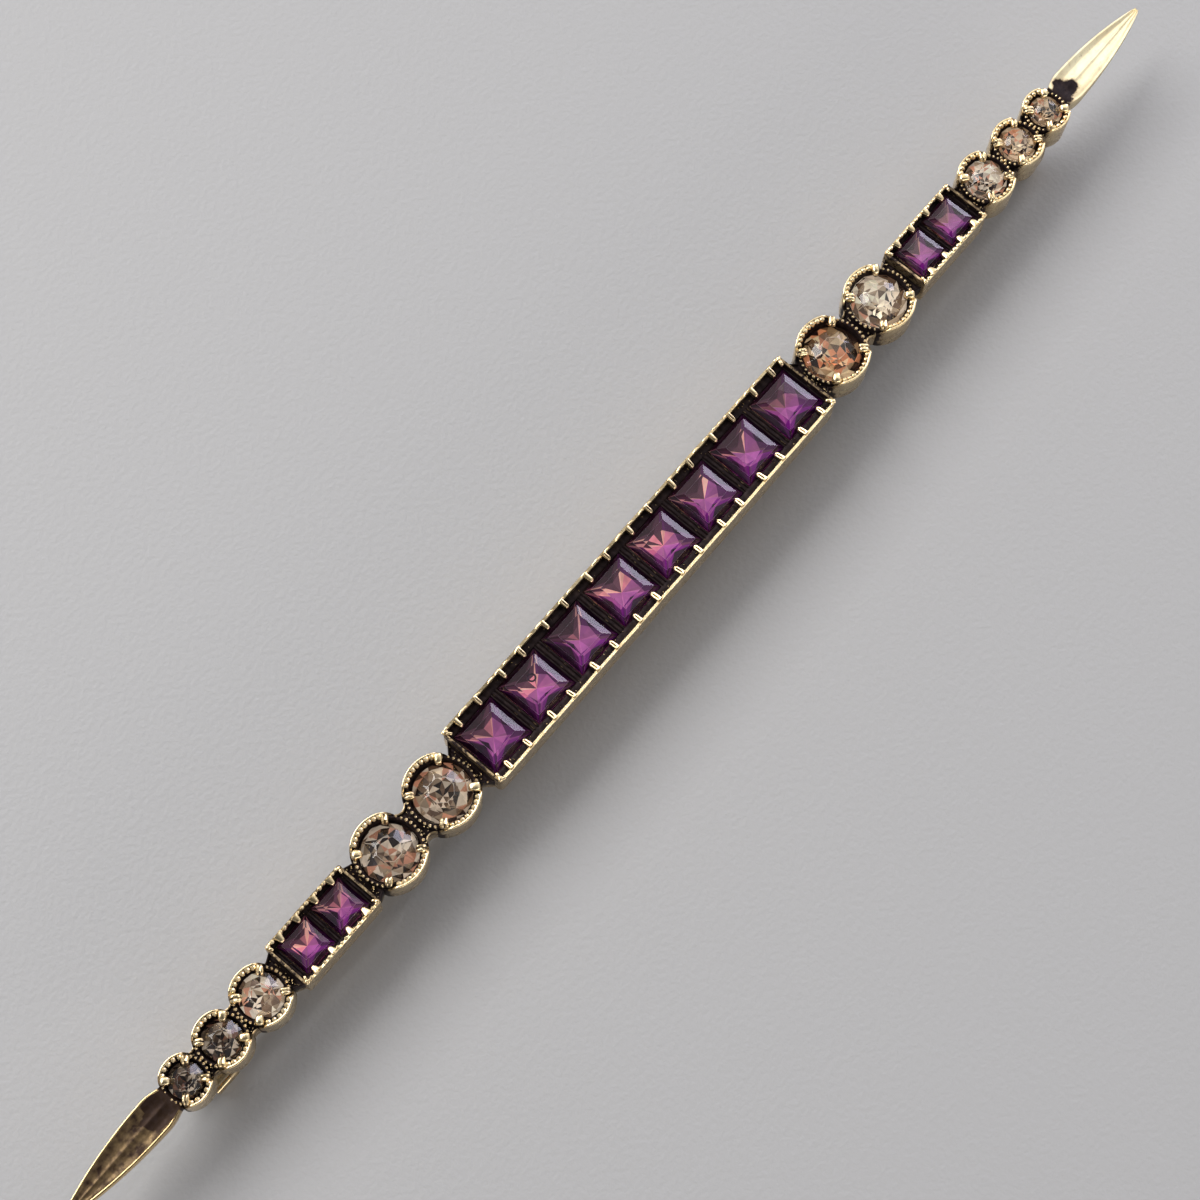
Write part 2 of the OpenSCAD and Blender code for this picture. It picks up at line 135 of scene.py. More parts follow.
def skin(grid, tarnish=0.0, ring_rows=False):
    """A closed skin over a grid (rows, columns, 3). Columns close into a ring. Rows close too, or end in
    flat caps. A negative volume means that the faces point inwards, and then they are turned."""
    rows, columns = grid.shape[:2]
    r = np.arange(rows if ring_rows else rows - 1)[:, None]
    c = np.arange(columns)[None, :]
    r2, c2 = (r + 1) % rows, (c + 1) % columns
    corners = (r * columns + c, r * columns + c2, r2 * columns + c2, r2 * columns + c)
    quads = np.stack(np.broadcast_arrays(*corners), -1).reshape(-1, 4)
    around = np.arange(columns)
    caps = [] if ring_rows else [around[::-1], (rows - 1) * columns + around]
    points = np.asarray(grid, float).reshape(-1, 3)
    if volume(points - points.mean(0), quads, caps) < 0:
        quads, caps = quads[:, ::-1], [cap[::-1] for cap in caps]
    return points, quads, caps, np.broadcast_to(tarnish, (rows, columns)).reshape(-1)


cube = skin(np.array([[(-1, -1, z), (1, -1, z), (1, 1, z), (-1, 1, z)] for z in (-1, 1)], float))
print("a cube of side 2 holds", volume(*cube[:3]))

# %% [markdown]
# Beads, claws and grains are one shape made many times over, each a little different, as a hand
# repeats it. So one skin is copied by whole arrays. Smooth steps and slow waves help too: they say
# how a worn or handmade surface passes from one height or shade to the next.

# %% Copies, steps and waves
def scatter(base, places, turns=0.0, sizes=1.0, darker=0.0):
    """Copies of a skin: each is scaled, turned about Z by so many degrees and moved to its place. `darker`
    is added to their tarnish."""
    points, quads, caps, tarnish = base
    places = np.asarray(places, float).reshape(-1, 3)
    count = len(places)
    turns = np.radians(np.broadcast_to(turns, count))[:, None]
    sizes = np.broadcast_to(np.asarray(sizes, float), (count, 3))
    p = points[None] * sizes[:, None, :]
    x = p[..., 0] * np.cos(turns) - p[..., 1] * np.sin(turns)
    y = p[..., 0] * np.sin(turns) + p[..., 1] * np.cos(turns)
    moved = np.stack([x, y, p[..., 2]], -1) + places[:, None, :]
    shift = np.arange(count) * len(points)
    quads = (quads[None] + shift[:, None, None]).reshape(-1, 4)
    caps = [cap + s for s in shift for cap in caps]
    return moved.reshape(-1, 3), quads, caps, np.tile(tarnish + darker, count)


def ease(x, low, high):
    """A smooth rise from 0 at low to 1 at high, flat at both ends."""
    t = np.clip((x - low) / (high - low), 0, 1)
    return t * t * (3 - 2 * t)


def hand_wave(x, size, seed=0.0):
    """The slight waviness of handmade metal: three sine waves of unlike heights and lengths."""
    waves = ((1.0, 1.3, 1), (0.6, 3.1, 2), (0.4, 6.7, 3))
    return size / 2 * sum(height * np.sin(pace * x + k * seed) for height, pace, k in waves)


def circle_turns(count):
    """Angles at even steps round a whole circle."""
    return np.linspace(0, 2 * np.pi, count, endpoint=False)


def together(*parts):
    """Coordinates of unlike shapes, spread to one shape and stacked as the last axis of a grid."""
    return np.stack(np.broadcast_arrays(*parts), -1)


print("a wave of size 1 reaches", round(np.abs(hand_wave(np.linspace(0, 90, 900), 1.0)).max(), 3))

# %% [markdown]
# The gold is pale and slightly greenish wherever wear has rubbed it, and almost black where nothing
# reaches. A number on each point of the mesh, called tarnish, says how far a place lies from any
# rubbing, and shader nodes turn that number into a finish. Nodes are wordy to make in code, so a
# few short helpers come first: they add a node, link sockets, and fill them.

# %% Nodes and links
def add(tree, kind, values=(), **settings):
    """Adds a node. Settings are its own options, and values the plain values of its sockets."""
    made = tree.nodes.new(kind)
    for key, value in settings.items():
        setattr(made, key, value)
    for key, value in dict(values).items():
        made.inputs[key].default_value = value
    return made


def join(tree, *pairs):
    """Links sockets: a pair is a source and its target."""
    for source, target in pairs:
        tree.links.new(source, target)


def feed(tree, *pairs):
    """Fills sockets: a pair is a target and what it gets, which is a socket or a plain value."""
    for target, source in pairs:
        if isinstance(source, bpy.types.NodeSocket):
            tree.links.new(source, target)
        else:
            target.default_value = source


print("helpers for nodes:", [helper.__name__ for helper in (add, join, feed)])

# %% [markdown]
# Four steps come back in every finish: noise over the piece, one span of numbers carried over to
# another, arithmetic, and a mix of two colours. Noise reads the piece's own coordinates, in
# metres, so a pit or a veil has the same size on every piece.

# %% Noise, spans, arithmetic and mixes
def noise(tree, scale, detail=3.0):
    """Noise on the piece's own coordinates. A scale of 1000 gives patches about a millimetre wide."""
    where = add(tree, "ShaderNodeTexCoord")
    made = add(tree, "ShaderNodeTexNoise", {"Scale": scale, "Detail": detail})
    join(tree, (where.outputs["Object"], made.inputs["Vector"]))
    return made.outputs["Fac"]


def spread(tree, source, low, high, to_low, to_high):
    """Carries low to high over to another span, and holds what lies outside."""
    ends = {"From Min": low, "From Max": high, "To Min": to_low, "To Max": to_high}
    made = add(tree, "ShaderNodeMapRange", ends)
    join(tree, (source, made.inputs["Value"]))
    return made.outputs["Result"]


def maths(tree, operation, first, second):
    """One step of arithmetic on two numbers, each a socket or a plain value."""
    made = add(tree, "ShaderNodeMath", operation=operation)
    feed(tree, (made.inputs[0], first), (made.inputs[1], second))
    return made.outputs[0]


def mixed(tree, factor, first, second):
    """A mix of two colours, each a socket or a plain colour."""
    made = add(tree, "ShaderNodeMix", data_type="RGBA")
    feed(tree, (made.inputs[0], factor), (made.inputs[6], first), (made.inputs[7], second))
    return made.outputs[2]


print("helpers for sums:", [helper.__name__ for helper in (noise, spread, maths, mixed)])

# %% [markdown]
# A material starts from its shader, and what stays the same all over is set on the shader itself.
# Fine relief, such as pits in the gold and crumples in the foil, is far too small for the mesh, so
# it only bends the shader's normal.

# %% New materials
def new_material(name, values):
    """A new material with its tree and its shader, whose own sockets get the plain values."""
    material = bpy.data.materials.new(name)
    material.use_nodes = True
    shader = material.node_tree.nodes["Principled BSDF"]
    for label, value in values.items():
        shader.inputs[label].default_value = value
    return material, material.node_tree, shader


def bumped(tree, shader, height, strength, depth):
    """Bends the shader's normal by a height. The depth is in metres."""
    bump = add(tree, "ShaderNodeBump", {"Strength": strength, "Distance": depth})
    join(tree, (height, bump.inputs["Height"]), (bump.outputs["Normal"], shader.inputs["Normal"]))


print("helpers for materials:", [helper.__name__ for helper in (new_material, bumped)])

# %% [markdown]
# Old gold is never evenly dark. The ageing group adds broad blotches and small sharp pits to the
# tarnish number, and what then lies above a threshold is a dull black film. Below it the gold is
# warm, with a brown film that thins out towards the rubbed places. A group keeps this in one
# place, so bright claws, dark wells and leaves differ only by the values they pass in.

# %% The ageing group
FLOAT, COLOUR = "NodeSocketFloat", "NodeSocketColor"
WARM_GOLD, BROWN_FILM, BROWN_SOOT = (0.76, 0.52, 0.25, 1), (0.32, 0.20, 0.10, 1), (0.036, 0.023, 0.021, 1)
PER_METRE = {"hue": 420, "sheen": 1500, "blotch": 2400, "soot": 3800, "grain": 4200, "pit": 5600}
FILM_ENDS, BLACK_ENDS = (0.02, 0.5), (0.36, 0.62)  # levels where the film and the black begin and are full

ageing = bpy.data.node_groups.new("aged gold", "ShaderNodeTree")
for label, kind, value in (("Tarnish", FLOAT, 0.0), ("Clean", COLOUR, (0.86, 0.70, 0.40, 1)),
                           ("Dark", COLOUR, (0.02, 0.014, 0.013, 1)), ("Polish", FLOAT, 0.2),
                           ("Pits", FLOAT, 0.3), ("Blotch", FLOAT, 0.9)):
    ageing.interface.new_socket(label, in_out="INPUT", socket_type=kind).default_value = value
for label, kind in (("Colour", COLOUR), ("Roughness", FLOAT), ("Metallic", FLOAT), ("Height", FLOAT)):
    ageing.interface.new_socket(label, in_out="OUTPUT", socket_type=kind)
given, made = add(ageing, "NodeGroupInput").outputs, add(ageing, "NodeGroupOutput").inputs


def level_of_dark():
    """Tarnish plus blotches, which go both ways, plus pits. Returned with the pits."""
    blotch = maths(ageing, "SUBTRACT", noise(ageing, PER_METRE["blotch"], 4), 0.5)
    pit = maths(ageing, "MULTIPLY", spread(ageing, noise(ageing, PER_METRE["pit"], 2), 0.58, 0.70, 0, 1),
                given["Pits"])
    level = maths(ageing, "ADD", given["Tarnish"], maths(ageing, "MULTIPLY", blotch, given["Blotch"]))
    return maths(ageing, "ADD", level, pit), pit


level, pit = level_of_dark()
black = spread(ageing, level, *BLACK_ENDS, 0, 1)
film = spread(ageing, level, *FILM_ENDS, 0, 0.6)
warmth = spread(ageing, noise(ageing, PER_METRE["hue"], 2), 0.35, 0.7, 0, 0.4)
brown = spread(ageing, noise(ageing, PER_METRE["soot"], 4), 0.42, 0.72, 0, 0.6)
worn = mixed(ageing, film, mixed(ageing, warmth, given["Clean"], WARM_GOLD), BROWN_FILM)
colour = mixed(ageing, black, worn, mixed(ageing, brown, given["Dark"], BROWN_SOOT))
uneven = maths(ageing, "MULTIPLY", noise(ageing, PER_METRE["sheen"], 3), 0.18)
rough = maths(ageing, "ADD", maths(ageing, "ADD", given["Polish"], uneven),
              maths(ageing, "MULTIPLY", black, 0.25))
grain = maths(ageing, "MULTIPLY", noise(ageing, PER_METRE["grain"], 3), maths(ageing, "ADD", 0.4, black))
height = maths(ageing, "SUBTRACT", grain, maths(ageing, "MULTIPLY", pit, 0.5))
join(ageing, (colour, made["Colour"]), (rough, made["Roughness"]),
     (spread(ageing, black, 0, 1, 1, 0.5), made["Metallic"]), (height, made["Height"]))
print("nodes in the ageing group:", len(ageing.nodes))

# %% [markdown]
# Four metals come from the one group. The settings are gold with black recesses. The right leaf's
# gold is painted paler, nearly white, as a painted highlight, and the left one's is painted a darker
# bronze-brown that isn't pitted, as painted shade: both leaves are one metal, lit and in shade. The pin
# is plain drawn wire. The black film is dull, so the shine of what isn't metal is kept low.

# %% Metals
SOOT = (0.014, 0.009, 0.010, 1)
FILM_SHINE = 0.12


def aged_material(name, clean, dark, polish, pits, relief, blotch=0.9):
    """A metal that darkens by the tarnish number of its points. relief is the bump's depth in metres."""
    material, tree, shader = new_material(name, {"Specular IOR Level": FILM_SHINE})
    values = {"Clean": clean, "Dark": dark, "Polish": polish, "Pits": pits, "Blotch": blotch}
    aged = add(tree, "ShaderNodeGroup", node_tree=ageing)
    feed(tree, *((aged.inputs[label], value) for label, value in values.items()))
    tarnish = add(tree, "ShaderNodeAttribute", attribute_name="tarnish")
    join(tree, (tarnish.outputs["Fac"], aged.inputs["Tarnish"]),
         (aged.outputs["Colour"], shader.inputs["Base Color"]),
         (aged.outputs["Roughness"], shader.inputs["Roughness"]),
         (aged.outputs["Metallic"], shader.inputs["Metallic"]))
    bumped(tree, shader, aged.outputs["Height"], 0.7, relief)
    return material


gold = aged_material("oxidised pale gold", (0.91, 0.745, 0.46, 1), SOOT, polish=0.17, pits=0.28,
                     relief=0.00003)
# The right leaf's gold, paler than the settings' gold: a painted highlight.
lit_leaf_gold = aged_material("polished leaf gold", (0.95, 0.86, 0.60, 1), SOOT, polish=0.26, pits=0.2,
                          relief=0.00001)
# The left leaf's gold, darker and browner, with few blotches and no pits: painted shade.
shaded_leaf_gold = aged_material("bronzed leaf gold", (0.80, 0.60, 0.30, 1), (0.024, 0.013, 0.008, 1),
                        polish=0.12, pits=0.0, relief=0.00001, blotch=0.2)
wire = aged_material("drawn pin wire", (0.80, 0.60, 0.33, 1), (0.05, 0.035, 0.02, 1), polish=0.18,
                     pits=0.1, relief=0.000015)
print("metals:", [material.name for material in (gold, lit_leaf_gold, shaded_leaf_gold, wire)])

# %% [markdown]
# A piece is one mesh joined from many skins. It carries the tarnish number as an attribute, rides
# on the brooch's only body, and hides the solids that it stands for. Most pieces stand for the soldered
# metal, so that is what the helper takes for granted.

# %% Pieces
def placed(name, data):
    """A new object in the scene, with the data that it shows."""
    made = bpy.data.objects.new(name, data)
    bpy.context.scene.collection.objects.link(made)
    return made


def stand_for(nodes, name, mesh):
    """Puts a mesh into the scene as a piece that takes the place of solids."""
    made = placed(name, mesh)
    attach(made, "root")
    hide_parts(*nodes)
    print(name, "faces", len(mesh.polygons))


def piece(name, skins, sharp=38.0, material=gold, nodes=("setting",)):
    """Joins skins into one piece. Edges that bend by more than `sharp` degrees stay crisp, and the rest is
    shaded smooth."""
    points, faces, tarnish, start = [], [], [], 0
    for skin_points, quads, caps, dark in skins:
        points.append(skin_points)
        tarnish.append(dark)
        faces += (quads + start).tolist() + [(cap + start).tolist() for cap in caps]
        start += len(skin_points)
    mesh = bpy.data.meshes.new(name)
    mesh.from_pydata((np.concatenate(points) * MM).tolist(), [], faces)
    mesh.attributes.new("tarnish", "FLOAT", "POINT").data.foreach_set(
        "value", np.concatenate(tarnish).astype(np.float32))
    if sharp > 0:
        mesh.shade_smooth()
        mesh.set_sharp_from_angle(angle=np.radians(sharp))
    mesh.materials.append(material)
    stand_for(nodes, name, mesh)

# %% [markdown]
# Each box is a strip of metal bent round a row of stones. Its line is a rectangle with rounded
# corners. At each point the outward direction is kept too, because the wall's thickness is
# measured that way, and straight stretches are cut into short steps, so that they can wave.

# %% Line of a box
BOX_SHAPES = {  # room past the last stone, wall, ledge beside the stones, and radius of the corners
    "long": {"end": 0.34, "wall": 0.26, "ledge": 0.4, "corner": 0.35},
    "short": {"end": 0.5, "wall": 0.24, "ledge": 0.2, "corner": 0.15},
}


def rectangle_path(length, width, corner, spacing=0.3, steps=6):
    """Points and outward directions round a rectangle with rounded corners: quarter circles, joined by
    straight lines that are cut into short steps."""
    quarter = np.radians(np.linspace(0, 90, steps))
    arcs = []
    for k, signs in enumerate([(1, 1), (-1, 1), (-1, -1), (1, -1)]):
        turn = quarter + k * np.pi / 2
        out = together(np.cos(turn), np.sin(turn))
        centre = np.array(signs) * (length / 2 - corner, width / 2 - corner)
        arcs.append((centre + corner * out, out))
    places, outs = [], []
    for (points, out), (following, _) in zip(arcs, arcs[1:] + arcs[:1]):
        count = int(np.ceil(np.linalg.norm(following[0] - points[-1]) / spacing))
        t = np.linspace(0, 1, count, endpoint=False)[1:, None]
        places += [points, points[-1] + (following[0] - points[-1]) * t]
        outs += [out, np.repeat(out[-1:], len(t), 0)]
    return np.concatenate(places), np.concatenate(outs)


print("points round a box of 10 by 4 mm:", len(rectangle_path(10, 4, BOX_SHAPES["long"]["corner"])[0]))

# %% [markdown]
# The wall is one section, with worn round edges, carried round that line. It could be a bevelled
# cube, but a carried section lets the side walls be thicker than the ends and gives the rim the
# slight waviness of a hand-filed edge.

# %% Wall of a box
END_LIP, SIDE_LESS = 0.14, 0.09  # thickness of the end walls, and how much thinner a side wall is made
RIM_ROUND = 0.055  # how far from a corner of the wall's section its rounding starts
WALL_RISE, WALL_LEAN = 0.022, 0.014  # most that a wall rises, and that it leans
WALL_IN = 0.012  # how far inside its line it stands


def box_wall(x, length, width, kind, seed):
    """The section is (inset, height): up the outside, over the rim and down the inside to the back. The
    inset is scaled to the thickness of the wall, which is less at the ends. Two waves let the wall rise
    and lean a little, more towards the rim, and it stands a little low and in to keep its size."""
    wall = BOX_SHAPES[kind]["wall"]
    corners = [(0, BACK_Z), (0, RIM_Z), (1, RIM_Z - 0.02), (1, LEDGE_Z - 0.25), (0.55, BACK_Z)]
    section = rounded_loop(corners, RIM_ROUND, 4)
    inset, z = section[None, :, 0], section[None, :, 1]
    places, outs = rectangle_path(length, width, BOX_SHAPES[kind]["corner"])
    at_end, at_side = np.abs(outs[:, :1]), np.abs(outs[:, 1:])
    thick = wall - SIDE_LESS * ease(at_side, 0.3, 0.95) + (END_LIP - wall) * ease(at_end, 0.3, 0.95)
    up = ease(z, WAIST_Z, RIM_Z)
    rise = up * hand_wave(places[:, :1], WALL_RISE, seed)
    lean = up * hand_wave(places[:, :1] + 5 * outs[:, 1:], WALL_LEAN, seed + 2)
    flat = places[:, None, :] - outs[:, None, :] * (inset * thick + lean + WALL_IN)[..., None]
    grid = np.concatenate([flat, (z - WALL_RISE + rise)[..., None]], -1)
    grid[..., 0] += x
    outside = 0.06 + 0.12 * ease(LEDGE_Z - z, 0.5, 1.6)
    dark = np.where(inset > 0.9, ease(RIM_Z - z, 0.07, 0.3), outside)
    dark_end = 0.5 * ease(at_end, 0.5, 0.9) * ease(z, LEDGE_Z - 0.6, LEDGE_Z)
    # The wall on the side that faces -Y, away from the window, is made a little darker from just below its
    # rim down: painted shade.
    shaded_side = 0.12 * ease(-outs[:, 1:], 0.3, 0.9) * ease(RIM_Z - z, 0, 0.1)
    return skin(grid, dark + dark_end + shaded_side, ring_rows=True)


print("the long box's side wall:", round(BOX_SHAPES["long"]["wall"] - SIDE_LESS, 2), "mm, end wall:", END_LIP)

# %% [markdown]
# A box is its wall and a flat back, soldered together. Its length follows from the stones that it
# holds, so all three boxes come from one loop over the rows of stones.

# %% Boxes
def slab(x, length, width, corner, low, high, dark):
    """A flat plate with a rounded rectangle's outline, from one height to another."""
    places, _ = rectangle_path(length, width, corner, spacing=1.0)
    rings = [np.column_stack([places + (x, 0), np.full(len(places), z)]) for z in (low, high)]
    return skin(np.stack(rings), dark)


def box_size(kind, stones):
    """Middle, length and width of the box that holds a row of stones."""
    spots = sorted(stones.values())
    shape, width = BOX_SHAPES[kind], spots[0][1]
    length = spots[-1][0] - spots[0][0] + width + 2 * shape["end"]
    return (spots[0][0] + spots[-1][0]) / 2, length, width + 2 * (shape["wall"] + shape["ledge"])


BOXES = {"long": ("long", LARGE)}
BOXES.update({f"short_{s}": ("short", {k: v for k, v in SMALL.items() if s in k}) for s in SIDES})
for seed, (name, (kind, stones)) in enumerate(BOXES.items()):
    x, length, width = box_size(kind, stones)
    wall = BOX_SHAPES[kind]["wall"]
    plate = slab(x, length - wall, width - wall, BOX_SHAPES[kind]["corner"] / 2, BACK_Z + 0.02, WELL_Z, 0.3)
    piece(f"{name}_box_wall", [box_wall(x, length, width, kind, seed + 1.0), plate])

# %% [markdown]
# Inside the wall a ledge runs beside the stones. It has gone black, apart from places that wear
# has reached, and a file has left strokes across it. It is a loft: a section that changes a little
# from station to station, so the light breaks on it as on chased metal.

# %% Ledges beside the stones
SEAT_PLAY = 0.05  # room round a stone in its seat
FOOT_Z = WELL_Z - 0.03  # ledges and bars stand a little into the back
STATION = 0.07  # step between the stations of a ledge


def standing(top, foot_low, foot_high, dark):
    """Closes an open top with a straight foot on both sides. The feet are fully dark."""
    feet = [np.broadcast_to(foot, (len(top), 1, 3)) for foot in (foot_low, foot_high)]
    return skin(np.concatenate([feet[0], top, feet[1]], 1),
                np.pad(dark, ((0, 0), (1, 1)), constant_values=1.0))


def ledge_strip(x, length, inner, outer, side, seed):
    """A strip along X from y = inner to y = outer. Two waves along X make the strokes across its top, the
    finer one a file's marks, and the top sinks a little beside the stones."""
    xs = np.linspace(-length / 2, length / 2, int(length / STATION))[:, None]
    across = np.linspace(inner, outer, 6)
    strokes = hand_wave(xs * 3.1 + across * 2, 0.03, seed) + hand_wave(xs * 11 + across, 0.022, seed)
    top = together(xs + x, side * across, LEDGE_Z + (strokes - 0.05 * ease(across, inner + 0.12, inner)))
    rubbed = 0.42 * ease(hand_wave(xs * 5.3, 1.0, seed + 3), 0.55, 0.95)
    feet = [together(xs + x, side * y, FOOT_Z) for y in (inner, outer)]
    return standing(top, *feet, 0.95 - rubbed * np.linspace(0, 1, 6))


print("height of the ledges:", round(LEDGE_Z, 2), "and of their feet:", round(FOOT_Z, 2))

# %% [markdown]
# Thin bars stand between the stones. They are black too, and each carries one or two fine ridges
# left by the graver. A bar is the same kind of loft, laid across the box, and a cosine makes its
# ridges, because it gives as many as are wanted without a break.

# %% Bars between the stones
def ridged_bar(low_x, high_x, half, ridges, seed):
    """A bar along Y between two stones. Across the bar its top is a cosine, one wave for each ridge, raised
    to a power so that the crests are narrow. Only the crests are a little worn."""
    ys = np.linspace(-half, half, 24)[:, None]
    t = np.linspace(0, 1, 12 * ridges + 1)
    crest = (0.5 - 0.5 * np.cos(2 * np.pi * ridges * t)) ** 5
    z = LEDGE_Z - 0.08 + 0.11 * crest + hand_wave(ys * 4, 0.02, seed)
    xs = low_x + (high_x - low_x) * t + hand_wave(ys * 2, 0.008, seed)
    wear = ease(hand_wave(ys * 3.7, 1.0, seed + 1), -0.5, 0.9)
    feet = [together(end, ys, FOOT_Z) for end in (low_x, high_x)]
    return standing(together(xs, ys, z), *feet, 1.15 - 0.72 * (crest > 0.6) * wear)


def seat_half(stones):
    """Half the width of a square seat: the stone and the room round it."""
    return sorted(stones.values())[0][1] / 2 + SEAT_PLAY


for seed, (name, (kind, stones)) in enumerate(BOXES.items()):
    x, length, width = box_size(kind, stones)
    spots, half = sorted(stones.values()), seat_half(stones)
    outer = width / 2 - BOX_SHAPES[kind]["wall"] + 0.1
    strips = [ledge_strip(x, length - END_LIP, half, outer, side, seed + side) for side in (-1, 1)]
    box_half = (length - END_LIP) / 2
    edges = [x - box_half] + [v for spot, _ in spots for v in (spot - half, spot + half)] + [x + box_half]
    bars = []
    for k, (low, high) in enumerate(zip(edges[::2], edges[1::2])):
        ridges = 2 if 0 < k < len(spots) or kind == "short" else 1
        bars.append(ridged_bar(low, high, half + 0.02, ridges, k))
    piece(f"{name}_box_seat", strips + bars)

# %% [markdown]
# The graver has left burrs on the ledges. They are thin slivers that wear has brightened a little,
# strewn by chance, and more of them lie on the lower ledge.

# %% Burrs on the ledges
BURRS_PER_MM = {-1: 2.2, 1: 0.8}  # on the lower and the upper ledge
BURR_LEAST, BURR_MOST = (0.012, 0.03, 0.02), (0.025, 0.08, 0.045)


def ball(rows=4, columns=8, pole=0.28):
    """A ball of radius 1: rings at even steps of angle, each as high as the cosine of its angle. The end
    rings lie `pole` radians from the poles and are closed by flat caps."""
    polar, turn = np.linspace(pole, np.pi - pole, rows + 1)[:, None], circle_turns(columns)
    return skin(together(np.sin(polar) * np.cos(turn), np.sin(polar) * np.sin(turn), np.cos(polar)))


bead = ball()
burrs = []
for kind, stones in BOXES.values():
    x, length, width = box_size(kind, stones)
    inner, outer = seat_half(stones) + 0.05, width / 2 - BOX_SHAPES[kind]["wall"]
    for side, per_mm in BURRS_PER_MM.items():
        count = int(length * per_mm)
        places = together(x + rng.uniform(-0.48, 0.48, count) * length,
                          side * rng.uniform(inner, outer, count), LEDGE_Z + 0.03)
        sizes = rng.uniform(BURR_LEAST, BURR_MOST, (count, 3))
        burrs.append(scatter(bead, places, rng.uniform(-35, 35, count), sizes, darker=0.36))
piece("ledge_burrs", burrs)

# %% [markdown]
# Each round stone sits in a cup that was turned and pierced: a collar with a bead row close to the
# stone, a groove, and a smooth outer edge that stands on the two long sides and sweeps down
# towards the neighbours. It is a turned section, but the section changes with the angle: the
# weight of the outer edge follows the sine of the angle.

# %% Cups of the round stones
EDGE_T, COLLAR_OUT, LOBE_OUT = 0.15, 0.26, 0.47  # edge's thickness, and reach past the stone


def cup(x, d):
    """Section at each angle, as (distance from the axis, height): under the foot, up the outer edge, over
    it, into the groove, over the collar, down past the stone's edge, and in to the floor."""
    angle = circle_turns(96)
    high = ease(np.abs(np.sin(angle)), 0.52, 0.84)
    wide = ease(np.abs(np.sin(angle)), 0.42, 0.64)
    r = d / 2
    edge = r + LOBE_OUT + (COLLAR_OUT + 0.05 - LOBE_OUT) * (1 - wide)
    edge_z = WAIST_Z - 0.02 + (RIM_Z - WAIST_Z) * high + hand_wave(angle * 2, 0.012, x)
    groove_z = WAIST_Z - 0.12 + (RIM_Z - 0.25 - WAIST_Z + 0.12) * high
    collar_z = LEDGE_Z + 0.06 + 0.08 * high
    groove = np.minimum(edge - EDGE_T - 0.02, r + COLLAR_OUT + 0.05)
    corners = [
        (r * 0.6, BACK_Z + 0.004), (edge - 0.02, BACK_Z + 0.004), (edge, edge_z - 0.45),
        (edge - 0.01, edge_z), (edge - EDGE_T, edge_z - 0.01), (groove, groove_z),
        (r + COLLAR_OUT + 0.02, groove_z + 0.02), (r + COLLAR_OUT, collar_z - 0.02), (r + 0.13, collar_z),
        (r + 0.05, LEDGE_Z - 0.3), (r - 0.18, LEDGE_Z - 0.42), (r - 0.22, WELL_Z + 0.05), (r * 0.3, WELL_Z),
    ]
    section = np.stack([together(*corner, angle)[:, :2] for corner in corners], 1)
    section = rounded(section, 0.05, 4)
    out, z = section[..., 0], section[..., 1]
    grid = together(x + out * np.cos(angle)[:, None], out * np.sin(angle)[:, None], z)
    on_edge = ease(out - r, COLLAR_OUT + 0.04, LOBE_OUT - EDGE_T + 0.03)
    dark = np.clip(1.0 - on_edge * (0.2 + 0.76 * high)[:, None], 0.04, 1)
    foot = ease(WAIST_Z - z, 0.3, 1.4) * on_edge * 0.25
    return skin(grid.transpose(1, 0, 2), (dark + foot).T)


piece("round_cups", [cup(x, d) for x, d in ROUND.values()])

# %% [markdown]
# Between two round settings the metal draws in to a waist, and the gallery line of the outer edges
# runs on along it. The waist is a loft along the bar whose half-width follows a circle that is
# tangent to both cups, so that no corner shows where they meet.

# %% Waists between the cups
FILLET = 0.5  # radius of the hollow circle
WAIST_LIP, RIDGE_RISE = 0.1, 0.05  # width of the lip, and how far a ridge rises and falls


def waist_halves(gap, r1, r2):
    """Half-widths along a waist between circles of radius r1 and r2: a hollow circle touches both, with its
    centre at the third corner of a triangle whose sides are r1 + f, r2 + f and the gap. Past the places
    where it touches, the line runs on under the cups."""
    a, b = r1 + FILLET, r2 + FILLET
    cx = (a * a - b * b + gap * gap) / (2 * gap)
    cy = np.sqrt(a * a - cx * cx)
    first, last = cx * r1 / a, gap - (gap - cx) * r2 / b
    xs = np.linspace(first, last, 17)
    halves = cy - np.sqrt(np.maximum((FILLET + 0.01) ** 2 - (xs - cx) ** 2, 0))
    inner = np.linspace(0.6, 1, 4)[:, None]
    ends = (np.array([first - 0.3, halves[0] - 0.32]), np.array([last + 0.3, halves[-1] - 0.32]))
    head = ends[0] + (np.array([xs[0], halves[0]]) - ends[0]) * inner
    tail = ends[1] + (np.array([xs[-1], halves[-1]]) - ends[1]) * inner[::-1]
    line = np.concatenate([head[:-1], together(xs, halves), tail[1:]])
    return line[:, 0], line[:, 1]


